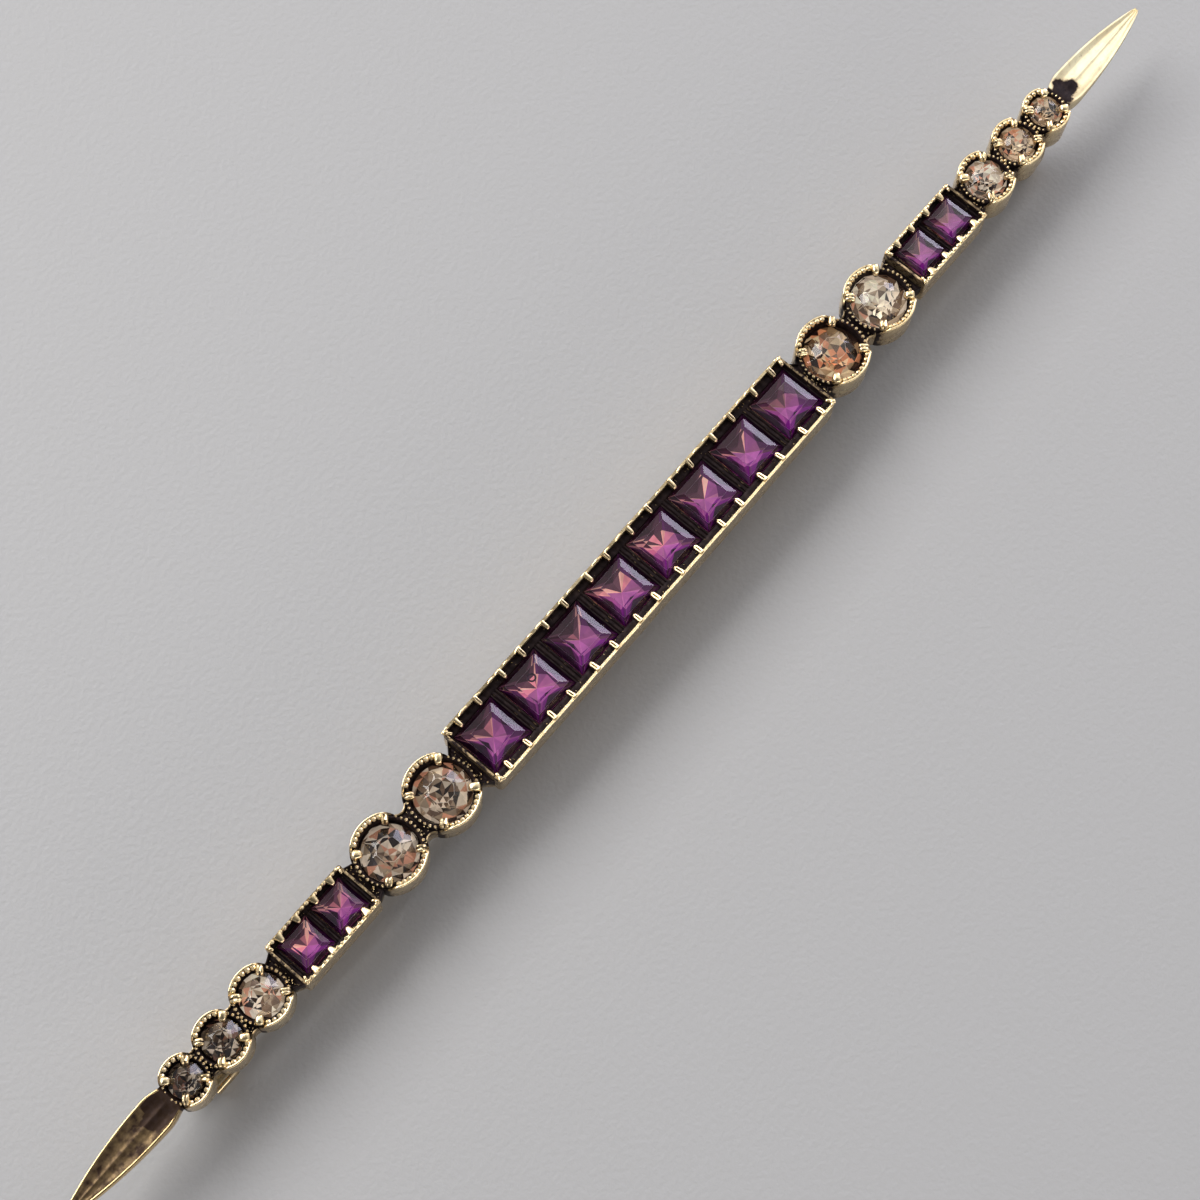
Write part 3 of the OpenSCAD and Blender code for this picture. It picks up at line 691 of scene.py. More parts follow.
def waist(x, halves, ridge_pitch, lip_dark, top=0.0):
    """Section at each station, from the foot of one side over the lip, the dark valley and the other lip.
    Only half of the section is listed, as share of the half-width, trim off it and rise above the waist,
    and the other half mirrors it. Ridges run across the valley, a cosine along the bar."""
    half_section = np.array([(1, 0.03, -9), (1, 0, -0.5), (1, 0, 0.03), (1, WAIST_LIP, 0.02),
                             (1, WAIST_LIP + 0.04, -0.14), (0.6, 0.2, -0.1), (0.2, 0.2, -0.06)])
    share, trim, rise = np.concatenate([half_section * (-1, 1, 1), half_section[::-1]]).T
    y = share * np.maximum(halves[:, None] - trim, 0.05)
    z = WAIST_Z + top + rise + np.zeros_like(y)
    z = z + (np.abs(share) < 0.9) * RIDGE_RISE * np.cos(2 * np.pi * x[:, None] / ridge_pitch)
    z = np.maximum(z, BACK_Z + 0.01)
    grid = rounded_loop(together(x[:, None], y, z), 0.04, 3)
    in_valley = np.abs(grid[..., 1]) < halves[:, None] - WAIST_LIP - 0.01
    dark = np.where(in_valley, 1.0, lip_dark)
    return skin(grid, np.where(grid[..., 2] < WAIST_Z - 0.6, 0.34, dark))


waists = []
bar_units = {letter: ROUND[f"round_stone_right_{letter}"] for letter in "abcde"}
NEIGHBOURS = [(bar_units[first], bar_units[second]) for first, second in ("ab", "cd", "de")]
for mirror in (1, -1):
    for (x1, d1), (x2, d2) in NEIGHBOURS:
        xs, halves = waist_halves(x2 - x1, d1 / 2 + LOBE_OUT - 0.01, d2 / 2 + LOBE_OUT - 0.01)
        waists.append(waist(mirror * (x1 + xs), halves - 0.05, ridge_pitch=0.26, lip_dark=0.45))
print("waists between cups:", len(waists))

# %% [markdown]
# Beside a box the waist is shorter and nearly straight, with finer ridges and a darker lip. The
# same loft makes it: its half-width runs evenly from the box's end to where it meets the cup.

# %% Waists beside the boxes
_, long_length, long_width = box_size(*BOXES["long"])
short_x, short_length, short_width = box_size(*BOXES["short_right"])
BOX_JOINTS = [  # a box's end, the round stone that follows, and the half-width at the box
    (long_length / 2, bar_units["a"], long_width / 2 - 0.3),
    (short_x - short_length / 2, bar_units["b"], short_width / 2 - 0.12),
    (short_x + short_length / 2, bar_units["c"], short_width / 2 - 0.14),
]
for mirror in (1, -1):
    for box_end, (x, d), half in BOX_JOINTS:
        away = np.sign(x - box_end)
        stations = np.linspace(box_end - away * 0.1, x - away * (d / 2 + 0.1), 14)
        touch = np.sqrt((d / 2 + LOBE_OUT - 0.03) ** 2 - (d / 2 + 0.1) ** 2)
        halves = np.linspace(half - 0.06, touch, 14)
        waists.append(waist(mirror * stations, halves, ridge_pitch=0.2, lip_dark=0.75, top=0.06))
piece("waists", waists)

# %% [markdown]
# Milgrain is a row of tiny beads rolled into an edge. Hundreds of them catch the light, so one
# low ball of a few dozen faces is copied by arrays. On the round cups the row runs on the collar,
# bright on the long sides. Towards the neighbours only small dark-set dots remain.

# %% Bead rows on the cups
BEAD_PITCH, BEAD_SIZE, BEAD_OUT, BEAD_Z = 0.32, (0.168, 0.168, 0.15), 0.245, LEDGE_Z + 0.26
DOT_PITCH, DOT_SIZE, DOT_OUT, DOT_Z = 0.29, (0.1, 0.1, 0.1), 0.25, LEDGE_Z + 0.09
BEAD_STARTS, BEAD_SWEEP = (58, 238), 64  # degrees, on the two long sides
DOT_STARTS, DOT_SWEEP = (-31, 149), 62  # degrees, towards the two neighbours


def ring_places(x, radius, start, sweep, pitch, z):
    """Places on an arc of so many degrees from a start, spaced by about one pitch."""
    count = max(int(round(np.radians(sweep) * radius / pitch)), 1) + 1
    turn = np.radians(np.linspace(start, start + sweep, count))
    return together(x + radius * np.cos(turn), radius * np.sin(turn), z)


def stretched(count, radii, least, most):
    """Uneven sizes for a number of beads, each a share of the same radii."""
    return np.asarray(radii) * rng.uniform(least, most, (count, 1))


bright = np.concatenate([ring_places(x, d / 2 + BEAD_OUT, start, BEAD_SWEEP, BEAD_PITCH, BEAD_Z)
                         for x, d in ROUND.values() for start in BEAD_STARTS])
dots = np.concatenate([ring_places(x, d / 2 + DOT_OUT, start, DOT_SWEEP, DOT_PITCH, DOT_Z)
                       for x, d in ROUND.values() for start in DOT_STARTS])
beads = scatter(bead, bright, rng.uniform(0, 45, len(bright)), stretched(len(bright), BEAD_SIZE, 0.88, 1.08))
dark_dots = scatter(bead, dots, 0.0, stretched(len(dots), DOT_SIZE, 0.7, 1.15), darker=0.2)
piece("round_bead_rows", [beads, dark_dots], sharp=0)

# %% [markdown]
# The boxes have bead rows on their rims too. On the small boxes the beads are still round, but on
# the long box only one side kept them, worn down to long low swellings. A row is the same bead
# again, copied along a straight line with a little chance in its place and size.

# %% Bead rows on the boxes
def rim_row(x, length, y, pitch, z, radii, jitter):
    """A straight row of beads along a rim, a little uneven in place and size."""
    xs = np.arange(x - length / 2, x + length / 2 + 1e-6, pitch)
    xs = xs + rng.uniform(-jitter, jitter, len(xs)) * pitch
    places = together(xs, y + rng.uniform(-0.02, 0.02, len(xs)), z)
    return scatter(bead, places, rng.uniform(-9, 9, len(xs)), stretched(len(xs), radii, 0.7, 1.1))


rows = [rim_row(0, long_length - 0.9, long_width / 2 - 0.11, pitch=0.8, z=RIM_Z - 0.03,
                radii=(0.3, 0.07, 0.045), jitter=0.5)]
for x in (short_x, -short_x):
    for y in (short_width / 2 - 0.12, 0.12 - short_width / 2):
        rows.append(rim_row(x, short_length - 0.3, y, pitch=0.34, z=RIM_Z - 0.05,
                            radii=(0.15, 0.125, 0.1), jitter=0.06))
piece("box_bead_rows", rows, sharp=0)

# %% [markdown]
# In the dark waists lie tiny grains of metal that the solder left. They catch single points of
# light, which is most of what the eye sees there. They are strewn by chance, from a fixed seed.

# %% Grains in the waists
GRAIN_SIZE = (0.06, 0.05, 0.06)


def grains(x, y_half, low_x, high_x, count):
    """Grains over a waist, between two places along X measured from x."""
    places = together(rng.uniform(low_x, high_x, count), rng.uniform(-y_half, y_half, count), WAIST_Z + 0.02)
    return scatter(bead, places + (x, 0, 0), 0.0, stretched(count, GRAIN_SIZE, 0.5, 1.2), darker=0.3)


strewn = []
for mirror in (1, -1):
    for box_end, (x, d), half in BOX_JOINTS:
        away = np.sign(x - box_end)
        ends = sorted((mirror * (box_end + away * 0.1), mirror * (x - away * (d / 2 + 0.1))))
        strewn.append(grains(0, half * 0.8, *ends, count=22))
    for (x1, d1), (x2, d2) in NEIGHBOURS:
        middle = (x1 + d1 / 2 + x2 - d2 / 2) / 2
        strewn.append(grains(mirror * middle, 0.8, -0.3, 0.3, count=12))
piece("waist_grains", strewn, sharp=0)

# %% [markdown]
# Four claws hold each round stone. A claw starts as a bead of metal that is pushed over the edge of
# the stone, so it ends up as a plump pillow, longer towards the stone, and many keep the cleft
# of the tool. The pillow is a stretched ball whose top is flattened, with a groove along it.

# %% Claws on the round stones
CLAW_TURNS = np.array([45, 135, 225, 315])
CLAW_SIZE, CLAW_Z, CLAW_OUT = np.array([0.31, 0.235, 0.26]), LEDGE_Z + 0.28, 0.05
CLAW_KINDS = ((0.0, 0.3), (0.5, 0.15), (0.25, -0.2))  # depth of the cleft, and taper


def squared(wave, power):
    """A wave raised to a power with its sign kept: below one, it squares off a circle."""
    return np.sign(wave) * np.abs(wave) ** power


def pillow(cleft, taper=0.0):
    """A ball squared off by raising its sines and cosines to a power below one, narrower towards the stone
    by `taper`, and dented by a wave. A bell-shaped groove of the given depth runs along its length."""
    polar, turn = np.linspace(0.1, np.pi - 0.1, 11)[:, None], circle_turns(18)
    dent = 1 + 0.09 * np.sin(3 * turn + 4 * taper) * np.sin(2 * polar)
    x = np.sin(polar) ** 0.6 * squared(np.cos(turn), 0.6) * dent
    y = np.sin(polar) ** 0.6 * squared(np.sin(turn), 0.6) * dent * (1 + taper * x)
    z = squared(np.cos(polar), 0.65) * (1 + 0.35 * taper + 0.3 * taper * x) + np.zeros_like(turn)
    z = z - cleft * np.exp(-(y / 0.22) ** 2) * (z > 0)
    in_cleft = np.where(z > 0, 0.75 * (cleft > 0) * np.exp(-(y / 0.16) ** 2), 0.0)
    return skin(together(x, y, z), in_cleft + 0.9 * ease(-z, -0.1, 0.6))


claws = [[] for _ in CLAW_KINDS]
for k, (x, d) in enumerate(ROUND.values()):
    for j, turn in enumerate(CLAW_TURNS + rng.uniform(-5, 5, 4)):
        out, angle, scale = d / 2 + CLAW_OUT, np.radians(turn), 0.86 + 0.05 * d
        place = (x + out * np.cos(angle), out * np.sin(angle), CLAW_Z)
        size = CLAW_SIZE * (scale, scale, 1) * rng.uniform(0.86, 1.1, 3)
        claws[(k + 2 * j) % len(claws)].append((place, turn, size))
skins = [scatter(pillow(*kind), *(np.array(column) for column in zip(*rows)))
         for kind, rows in zip(CLAW_KINDS, claws)]
piece("round_claws", skins, sharp=42)

# %% [markdown]
# The claws on a box are short tabs, cut from the wall and folded in over the ledge on to the
# stone. From the front many look like hairpins: two bright lines with a dark slot. Each is a
# section with round shoulders and a groove, lofted from the rim down to its tip on the stone. The
# short boxes have plain teeth.

# %% Claws on the boxes
CLAW_ROOT = 0.42  # how deep a claw's underside reaches into the wall


def tab(reach, width, drop, slot, taper):
    """Lofted along -Y from the rim to the tip. The section is a half-round, and its middle is pushed down
    by the slot's depth. The tab sinks by `drop` towards its rounded tip."""
    t = np.linspace(0, 1, 9)[:, None]
    turn = np.radians(np.linspace(0, 180, 11))
    tip = np.sqrt(np.clip(1 - np.clip((t - 0.8) / 0.2, 0, 1) ** 2 * 0.75, 0, 1))
    x = width / 2 * (1 - taper * t) * tip * np.cos(turn)
    lift = np.abs(np.sin(turn)) ** 0.6 * 0.1
    groove = slot * np.exp(-(np.cos(turn) / 0.24) ** 2) * (ease(t, 0.05, 0.3) * ease(t, 0.97, 0.75))
    top = together(x, -reach * t, lift * tip - groove - drop * t ** 1.5)
    under = together(x[:, [-1, 0]], -reach * t, -CLAW_ROOT)
    dark = np.concatenate([0.9 * groove / max(slot, 1e-6), np.full((9, 2), 1.0)], 1)
    return skin(rounded_loop(np.concatenate([top, under], 1), 0.0001, 2), np.repeat(dark, 2, 1))


def box_claws(stones, offsets, side, base, rim_y):
    """A claw at each offset beside each stone on one long side. The lower side is the upper one, half
    turned."""
    spots = [(x + dx, side * rim_y, RIM_Z) for x, _ in stones.values() for dx in offsets]
    sizes = rng.uniform(0.92, 1.08, (len(spots), 1))
    turns = (0 if side > 0 else 180) + rng.uniform(-4, 4, len(spots))
    return scatter(base, spots, turns, np.repeat(sizes, 3, 1))


CLAW_X, SMALL_CLAW_X = 0.8, 0.65  # how far from a stone's middle its claws sit
plain_tab = tab(reach=0.56, width=0.27, drop=0.10, slot=0.0, taper=0.1)
slotted_tab = tab(reach=0.54, width=0.28, drop=0.10, slot=0.08, taper=0.15)
hairpin = tab(reach=0.60, width=0.30, drop=0.12, slot=0.11, taper=0.05)
tooth = tab(reach=0.46, width=0.46, drop=0.1, slot=0.0, taper=0.5)
long_rim, short_rim = long_width / 2 - 0.12, short_width / 2 - 0.1
skins = [box_claws(LARGE, (-CLAW_X,), 1, plain_tab, long_rim),
         box_claws(LARGE, (CLAW_X,), 1, slotted_tab, long_rim),
         box_claws(LARGE, (-CLAW_X, CLAW_X), -1, hairpin, long_rim)]
skins += [box_claws(SMALL, (-SMALL_CLAW_X, SMALL_CLAW_X), side, tooth, short_rim) for side in (1, -1)]
piece("box_claws", skins, sharp=50)

# %% [markdown]
# At each corner of a box the solder and the corner prongs have run together into a small clump, with
# one arm towards the stone and one along the end wall. Three pillows of unlike sizes, pushed into
# each other, read as such a clump.

# %% Corner clumps
CLUMP_IN_X, CLUMP_IN_Y, CLUMP_Z = 0.14, 0.16, RIM_Z - 0.07
ARMS = ((0.05, 0, (0.17, 0.13, 0.16)), (0.27, 20, (0.2, 0.1, 0.13)), (0.2, -62, (0.16, 0.09, 0.12)))


def corner_clumps(x, length, width, size):
    """An arm is its distance from the corner, its turn away from the way inwards, and its size."""
    rows = []
    for sx in (1, -1):
        for sy in (1, -1):
            cx, cy = x + sx * (length / 2 - CLUMP_IN_X), sy * (width / 2 - CLUMP_IN_Y)
            for away, lean, arm in ARMS:
                turn = np.degrees(np.arctan2(-sy, -sx)) + lean * sx * sy + rng.uniform(-9, 9)
                angle = np.radians(turn)
                place = (cx + away * size * np.cos(angle), cy + away * size * np.sin(angle), CLUMP_Z)
                rows.append((place, turn, np.array(arm) * (size, size, 1) * rng.uniform(0.9, 1.1)))
    return scatter(pillow(0.0), *(np.array(column) for column in zip(*rows)))


clumps = [corner_clumps(0, long_length, long_width, 1.0)]
clumps += [corner_clumps(x, short_length, short_width, 0.75) for x in (short_x, -short_x)]
piece("corner_clumps", clumps, sharp=60)

# %% [markdown]
# The leaves are the only large areas of plain metal, so their form has to be right: a quick swell,
# a long bulging taper, bright raised edges, two hollow faces and a low ridge along the middle.
# They are polished, apart from the neck, where the metal is black in a patch with a ragged edge, and the left
# leaf's hollow faces are darkened with painted shade.

# %% Leaves
LEAF_W, NECK_W, TIP_W, SWELL = 2.13, 1.65, 0.3, 1.1  # widths, and how far out the widest place is
LEAF_EDGE, HOLLOW = 0.17, 0.15  # width of the raised edge, and depth of the hollow faces
PATCH_LEN, LEFT_LEAF_SHADE = 1.75, 0.585  # reach of the black patch, and the painted shade on the left leaf's hollow faces
LEAF_DROP, TIP_FALL = 0.2, 0.2667  # the leaf's top below the rim, and how far it falls to the tip
LEAF_LOW, TIP_LIFT = 1.5, 0.53  # its underside below the rim, and how far it rises to the tip
leaf_x = bar_units["e"][0] + bar_units["e"][1] / 2 + COLLAR_OUT
LEAF_LEN = TIP_X - leaf_x


def leaf_halves(u):
    """Half-width at distances u from the cup: a quarter sine up to the swell, and then a power curve down
    to the blunt tip. Returned with the share of the taper that is passed."""
    t = np.clip((u - SWELL) / (LEAF_LEN - SWELL), 0, 1)
    swell = NECK_W / 2 + (LEAF_W - NECK_W) / 2 * np.sin(np.clip(u / SWELL, 0, 1) * np.pi / 2)
    half = np.where(u < SWELL, swell, TIP_W / 2 + (LEAF_W - TIP_W) / 2 * (1 - t ** 2) ** 0.9) - 0.01
    return half * np.where(u > LEAF_LEN - 0.1, 0.8, 1), t


def leaf(side, painted_shade):
    """Loft along the leaf. Across, each hollow face is a sine between the ridge and the edge, and then come
    the raised edge, the side and the underside. The black patch reaches as far as an oval round the neck,
    with two waves on its outline. The second argument darkens the rest of the hollow faces: painted shade."""
    taper = np.sin(np.linspace(0, np.pi / 2, 40))
    u = np.concatenate([np.linspace(-0.5, SWELL, 16)[:-1], SWELL + (LEAF_LEN - SWELL) * taper])[:, None]
    half, t = leaf_halves(u)
    along = np.clip(u, 0, None)
    top = RIM_Z - LEAF_DROP - TIP_FALL * along / LEAF_LEN - 0.5 * ease(-u, 0, 0.4)
    low = RIM_Z - LEAF_LOW + TIP_LIFT * along / LEAF_LEN
    edge = np.minimum(LEAF_EDGE, half * 0.35)
    f = np.linspace(0, 1, 12)
    depth = HOLLOW * ease(u, 0.1, 0.9) * (1 - 0.45 * t)
    bowl = 0.22 * (1 - f) ** 2 + np.sin(np.pi * np.clip(0.1 + 0.9 * f, 0, 1)) ** 0.8
    y = np.concatenate([(half - edge) * f, half - edge * 0.6, half - edge * 0.25, half, half * 0.93,
                        half * 0.55], 1)
    z = np.concatenate([top - depth * np.minimum(bowl, 1), top + 0.012, top, top - 0.1, low + 0.12, low], 1)
    y, z = np.concatenate([y, -y[:, :0:-1]], 1), np.concatenate([z, z[:, :0:-1]], 1)
    reach = np.hypot(along / PATCH_LEN, y / (half - 0.12))
    ragged = 0.12 * np.sin(4.3 * u + 2.5 * y) + 0.1 * np.sin(3.1 * u - 5.2 * y)
    patch = ease(reach + ragged, 1.2, 0.45)
    inner = np.abs(y) < half - edge * 0.8
    dark = np.where(z > top - 0.5, np.minimum(patch + painted_shade * inner, 1), 0.22)
    return skin(together(side * (leaf_x + u), y, z), np.maximum(dark, ease(-u, -0.25, 0.1) * 0.9))


# The left leaf gets the darker gold and painted shade on its hollow faces, and the right leaf gets the paler
# gold, a painted highlight.
piece("leaf_left", [leaf(-1, LEFT_LEAF_SHADE)], sharp=50, material=shaded_leaf_gold)
piece("leaf_right", [leaf(1, 0.0)], sharp=50, material=lit_leaf_gold)

# %% [markdown]
# Under the back a plate carries the two knuckles of the hinge and the rivet between them, and
# another plate carries the catch. Both are hidden in the photograph, so they are plain: every part
# of them is a section carried straight, with softened ends.

# %% Hinge
HINGE_X = (bar_units["d"][0] + bar_units["e"][0]) / 2
PLATE_T, PLATE_LEN, HINGE_W, EYE_W, CATCH_W, CATCH_T = 0.35, 3.0, 2.2, 0.9, 2.3, 0.38
KNUCKLE_R, KNUCKLE_TOP, RIVET_R = 0.9, 0.6, 0.35  # radii, and half the knuckle's width at the back
HOOK_HALF, HOOK_LIP, SOLDER_IN = 0.8, 0.5, 0.1  # solder joints run a little into the back
PLATE_LOW, PLATE_HIGH = BACK_Z - PLATE_T, BACK_Z + SOLDER_IN
EYE_PLAY, RIVET_PLAY = 0.06, 0.05  # room beside the pin's eye, and round the rivet in it


def prism(section, start, stop, axis):
    """A prism of a section given in (Y, Z) along X, or in (X, Z) along Y, with softened ends."""
    section = np.asarray(section, float)
    middle = section.mean(0)
    grow = np.array([0.96, 1.0, 1.0, 0.96])[:, None, None]
    flat = middle + (section - middle)[None] * grow
    soft = min(0.04, (stop - start) / 4)
    along = np.array([start, start + soft, stop - soft, stop])[:, None]
    order = (along, flat[..., 0], flat[..., 1]) if axis == "x" else (flat[..., 0], along, flat[..., 1])
    return skin(together(*order), 0.27)


def back_plate(half, x):
    """The plate under the back, as wide as the fitting that it carries."""
    corners = [(-half, PLATE_LOW), (half, PLATE_LOW), (half, PLATE_HIGH), (-half, PLATE_HIGH)]
    return prism(rounded_loop(corners, 0.06, 3), x - PLATE_LEN / 2, x + PLATE_LEN / 2, "x")


def hinge_circle(radius, degrees):
    """Points of a circle round the rivet's line, in (X, Z), at so many degrees."""
    angle = np.radians(degrees)
    return radius * together(np.cos(angle), np.sin(angle)) + (HINGE_X, KNUCKLE_R)


knuckle_w = (HINGE_W - EYE_W) / 2 - EYE_PLAY
knuckle = np.concatenate([hinge_circle(KNUCKLE_R, np.linspace(180, 360, 19)),
                          [(HINGE_X + side * KNUCKLE_TOP, BACK_Z - 0.1) for side in (1, -1)]])
rivet = hinge_circle(RIVET_R, np.linspace(0, 360, 24, endpoint=False))
hinge_half = HINGE_W / 2
piece("hinge", [
    back_plate(hinge_half, HINGE_X),
    prism(knuckle, -hinge_half, knuckle_w - hinge_half, "y"),
    prism(knuckle, hinge_half - knuckle_w, hinge_half, "y"),
    prism(rivet, -hinge_half - 0.02, hinge_half + 0.02, "y"),
], sharp=30)

# %% [markdown]
# The catch is a strip bent down, across and up again into a hook that is open on the lower side,
# where the pin would slip in. It is one closed section with rounded corners, carried along the bar.

# %% Catch
out, inner, lip = CATCH_W / 2, CATCH_W / 2 - CATCH_T, CATCH_T + HOOK_LIP
hook = [(out, PLATE_LOW + 0.05), (out, 0), (-out, 0), (-out, lip), (-inner, lip), (-inner, CATCH_T),
        (inner, CATCH_T), (inner, PLATE_LOW + 0.05)]
strip = prism(rounded_loop(hook, 0.18, 5), -HINGE_X - HOOK_HALF, -HINGE_X + HOOK_HALF, "x")
piece("catch", [back_plate(out, -HINGE_X), strip], sharp=30)

# %% [markdown]
# The pin is a drawn wire with an eye on the rivet and a point that tapers over its last few
# millimetres. It is a circle carried along the wire, with its radius given by the taper.

# %% Pin
PIN_R, POINT_LEN, TIP_R = 0.4, 6.0, 0.06
EYE_LESS = 0.06  # how much less the eye's radius is than a knuckle's
pin_low, pin_high = node_box("pin")
PIN_Z = (pin_low[2] + pin_high[2]) / 2


def pin_wire():
    """Radius along the wire: full, then falling by a power curve to the point, like a ground needle."""
    x = np.concatenate([[HINGE_X - 0.3], np.linspace(HINGE_X - 1, pin_low[0] + POINT_LEN, 24),
                        pin_low[0] + POINT_LEN * (1 - np.linspace(0, 1, 20)[1:])])[:, None]
    radius = TIP_R + (PIN_R - TIP_R) * np.clip((x - pin_low[0]) / POINT_LEN, 0, 1) ** 0.8
    turn = circle_turns(24)
    return skin(together(x, radius * np.cos(turn), PIN_Z + radius * np.sin(turn)), 0.08)


def pin_eye():
    """A tube section, rounded at its edges, turned about the rivet's line."""
    bore, outer, half = RIVET_R + RIVET_PLAY, KNUCKLE_R - EYE_LESS, EYE_W / 2
    section = rounded_loop([(bore, -half), (outer, -half), (outer, half), (bore, half)], 0.06, 3)
    out, turn = section[:, 0], circle_turns(40)[:, None]
    grid = together(HINGE_X + out * np.cos(turn), section[:, 1], KNUCKLE_R + out * np.sin(turn))
    return skin(grid, 0.15, ring_rows=True)


piece("pin_stem", [pin_wire(), pin_eye()], material=wire, nodes=("pin",))

# %% [markdown]
# The stones are old paste: glass, cut by hand, with a coloured foil laid behind it in a closed seat.
# The foil throws the light back up through the glass, which gives the glow and the salmon
# flashes. So each stone is one body: clear glass above its widest line, with rubbed lines along
# some edges, and painted foil on the lower facets, which are seen through the glass.

# %% Body of a cut stone
CLEAR, RUBBED, FOIL = 0, 1, 2  # places of the three finishes on a stone
BROKEN = -1  # clear too, but broken into triangles, because hand-cut points don't lie in one plane
STONE_DEPTH = 0.6  # of a stone's middle below its table


def facing_out(points, faces):
    """A face's normal is the sum of the crosses of its neighbouring corners. Where it points towards the
    body's middle, the face is turned."""
    middle = points.mean(0)
    turned = []
    for face in faces:
        corners = points[face] - middle
        normal = np.cross(corners, np.roll(corners, -1, 0)).sum(0)
        turned.append(list(face) if normal @ corners.mean(0) > 0 else list(face)[::-1])
    return turned


def cut_stone(name, node, points, facets, finishes):
    """A body of flat facets, each given as (corners, finish, colour). The colour is the tint of a clear
    facet and the paint of a foiled one."""
    corners, numbers, colours = zip(*facets)
    mesh = bpy.data.meshes.new(name)
    mesh.from_pydata((points * MM).tolist(), [], facing_out(points, corners))
    for material in finishes:
        mesh.materials.append(material)
    mesh.polygons.foreach_set("material_index", numbers)
    colours = np.column_stack([np.clip(colours, 0, 1), np.ones(len(colours))]).astype(np.float32)
    mesh.attributes.new("paint", "FLOAT_COLOR", "FACE").data.foreach_set("color", colours.ravel())
    stand_for((node,), name, mesh)


print("finishes on a stone: clear", CLEAR, "rubbed", RUBBED, "foil", FOIL)

# %% [markdown]
# Above its edge a cut stone has bands of facets round a flat table, whether it is square or round,
# so one helper counts out their corners. No hand sets a stone quite level either, and a small lean
# is enough to make one stone flash while its neighbour stays dark.

# %% Upper facets and the lean of a stone
def crown_facets(rings, columns, bands, tint):
    """The table and the bands of facets below it, down to the stone's edge. A band is its finish and its
    tint, or four tints, one for each quarter of the round."""
    facets = [(list(range(columns)), CLEAR, tint)]
    for row, (finish, colours) in enumerate(bands):
        for k in range(columns):
            colour = np.broadcast_to(colours, (4, 3))[4 * k // columns]
            a, b = row * columns + k, row * columns + (k + 1) % columns
            if finish == BROKEN:
                one_way = [[a, b, b + columns], [a, b + columns, a + columns]]
                other_way = [[a, b, a + columns], [b, b + columns, a + columns]]
                facets += [(corners, CLEAR, colour) for corners in (other_way if k % 2 else one_way)]
            else:
                facets.append(([a, b, b + columns, a + columns], finish, colour))
    return np.concatenate(rings), facets


def set_by_hand(points, x, most_lean):
    """Moves a stone to its place and leans it, as hand-set stones lean, about a level line through its
    middle. The line's way and the angle, of no more than `most_lean` degrees, are drawn by chance."""
    a, b = np.radians(rng.uniform(0, most_lean)), np.radians(rng.uniform(0, 360))
    axis = np.array([np.cos(b), np.sin(b), 0])
    centre = np.array([x, 0, TABLE_Z - STONE_DEPTH])
    p = points + (x, 0, 0) - centre
    along = (p @ axis)[..., None] * axis
    return centre + p * np.cos(a) + np.cross(axis, p) * np.sin(a) + along * (1 - np.cos(a))


trial = crown_facets([np.zeros((8, 3))] * 2, 8, [(CLEAR, (1, 1, 1))], (1, 1, 1))[1]
print("a table and one band of eight make", len(trial), "facets")

# %% [markdown]
# Glass needs no texture to look like glass, but old paste has faint veils, and its facets' edges
# are rubbed matt. Foil is painted facet by facet, and fine crumples bend its light. A slight glow
# stands for the many small reflections between foil and glass that a path of few bounces leaves
# out.

# %% Glass and foil
IOR = 1.54
SHADE_SCALE, CRUMPLE_SCALE = 1900, 2600  # per metre
VEIL, FOIL_SHADE = (0.95, 0.9, 0.92, 1), (0.05, 0.02, 0.03, 1)


def stone_glass(name, veil_scale, veil):
    """Clear glass whose colour is the stone's tint, thinned in places by faint veils."""
    clear = {"Transmission Weight": 1.0, "IOR": IOR, "Roughness": 0.0}
    material, tree, shader = new_material(name, clear)
    tint = add(tree, "ShaderNodeAttribute", attribute_name="paint")
    cloud = spread(tree, noise(tree, veil_scale, 4), 0.45, 0.75, 0, veil)
    join(tree, (mixed(tree, cloud, tint.outputs["Color"], VEIL), shader.inputs["Base Color"]))
    return material


def rubbed_edge(name, colour, clear):
    """The narrow rubbed line along an old facet's edge: glass gone matt, so part of it is white."""
    return new_material(name, {"Base Color": colour, "Transmission Weight": clear, "Roughness": 0.4})[0]


def stone_foil(name, rough, metallic, relief, glow):
    """Foil painted by the facets' own colours, with uneven shade, fine crumples and a slight glow."""
    foil = {"Metallic": metallic, "Roughness": rough, "Emission Strength": glow}
    material, tree, shader = new_material(name, foil)
    paint = add(tree, "ShaderNodeAttribute", attribute_name="paint")
    shade = spread(tree, noise(tree, SHADE_SCALE, 4), 0.35, 0.75, 0, 0.3)
    painted = mixed(tree, shade, paint.outputs["Color"], FOIL_SHADE)
    join(tree, (painted, shader.inputs["Base Color"]), (painted, shader.inputs["Emission Color"]))
    bumped(tree, shader, noise(tree, CRUMPLE_SCALE, 3), 0.6, relief)
    return material


violet = [stone_glass("violet stone glass", veil_scale=700, veil=0.1),
          rubbed_edge("rubbed violet edge", (0.60, 0.46, 0.66, 1), clear=0.9),
          stone_foil("violet foil", rough=0.3, metallic=0.3, relief=0.00005, glow=0.6)]
smoky = [stone_glass("smoky stone glass", veil_scale=900, veil=0.15),
         rubbed_edge("rubbed smoky edge", (0.85, 0.80, 0.72, 1), clear=0.75),
         stone_foil("champagne foil", rough=0.25, metallic=0.35, relief=0.00004, glow=0.3)]
print("stone finishes:", [material.name for material in violet + smoky])

# %% [markdown]
# A violet stone is a square with a small step: steep outer facets whose glass is painted almost
# black, as painted shade, flatter inner ones that mirror the window, and the table. Its lower facets
# are painted with the light and shade that the real stones show: a bright star that reaches into the
# corners, dark wedges of painted shade from the middle of each side, a dusky side in painted shade,
# and salmon strips along the diagonals, which are painted highlights. Each stone has its own strengths.

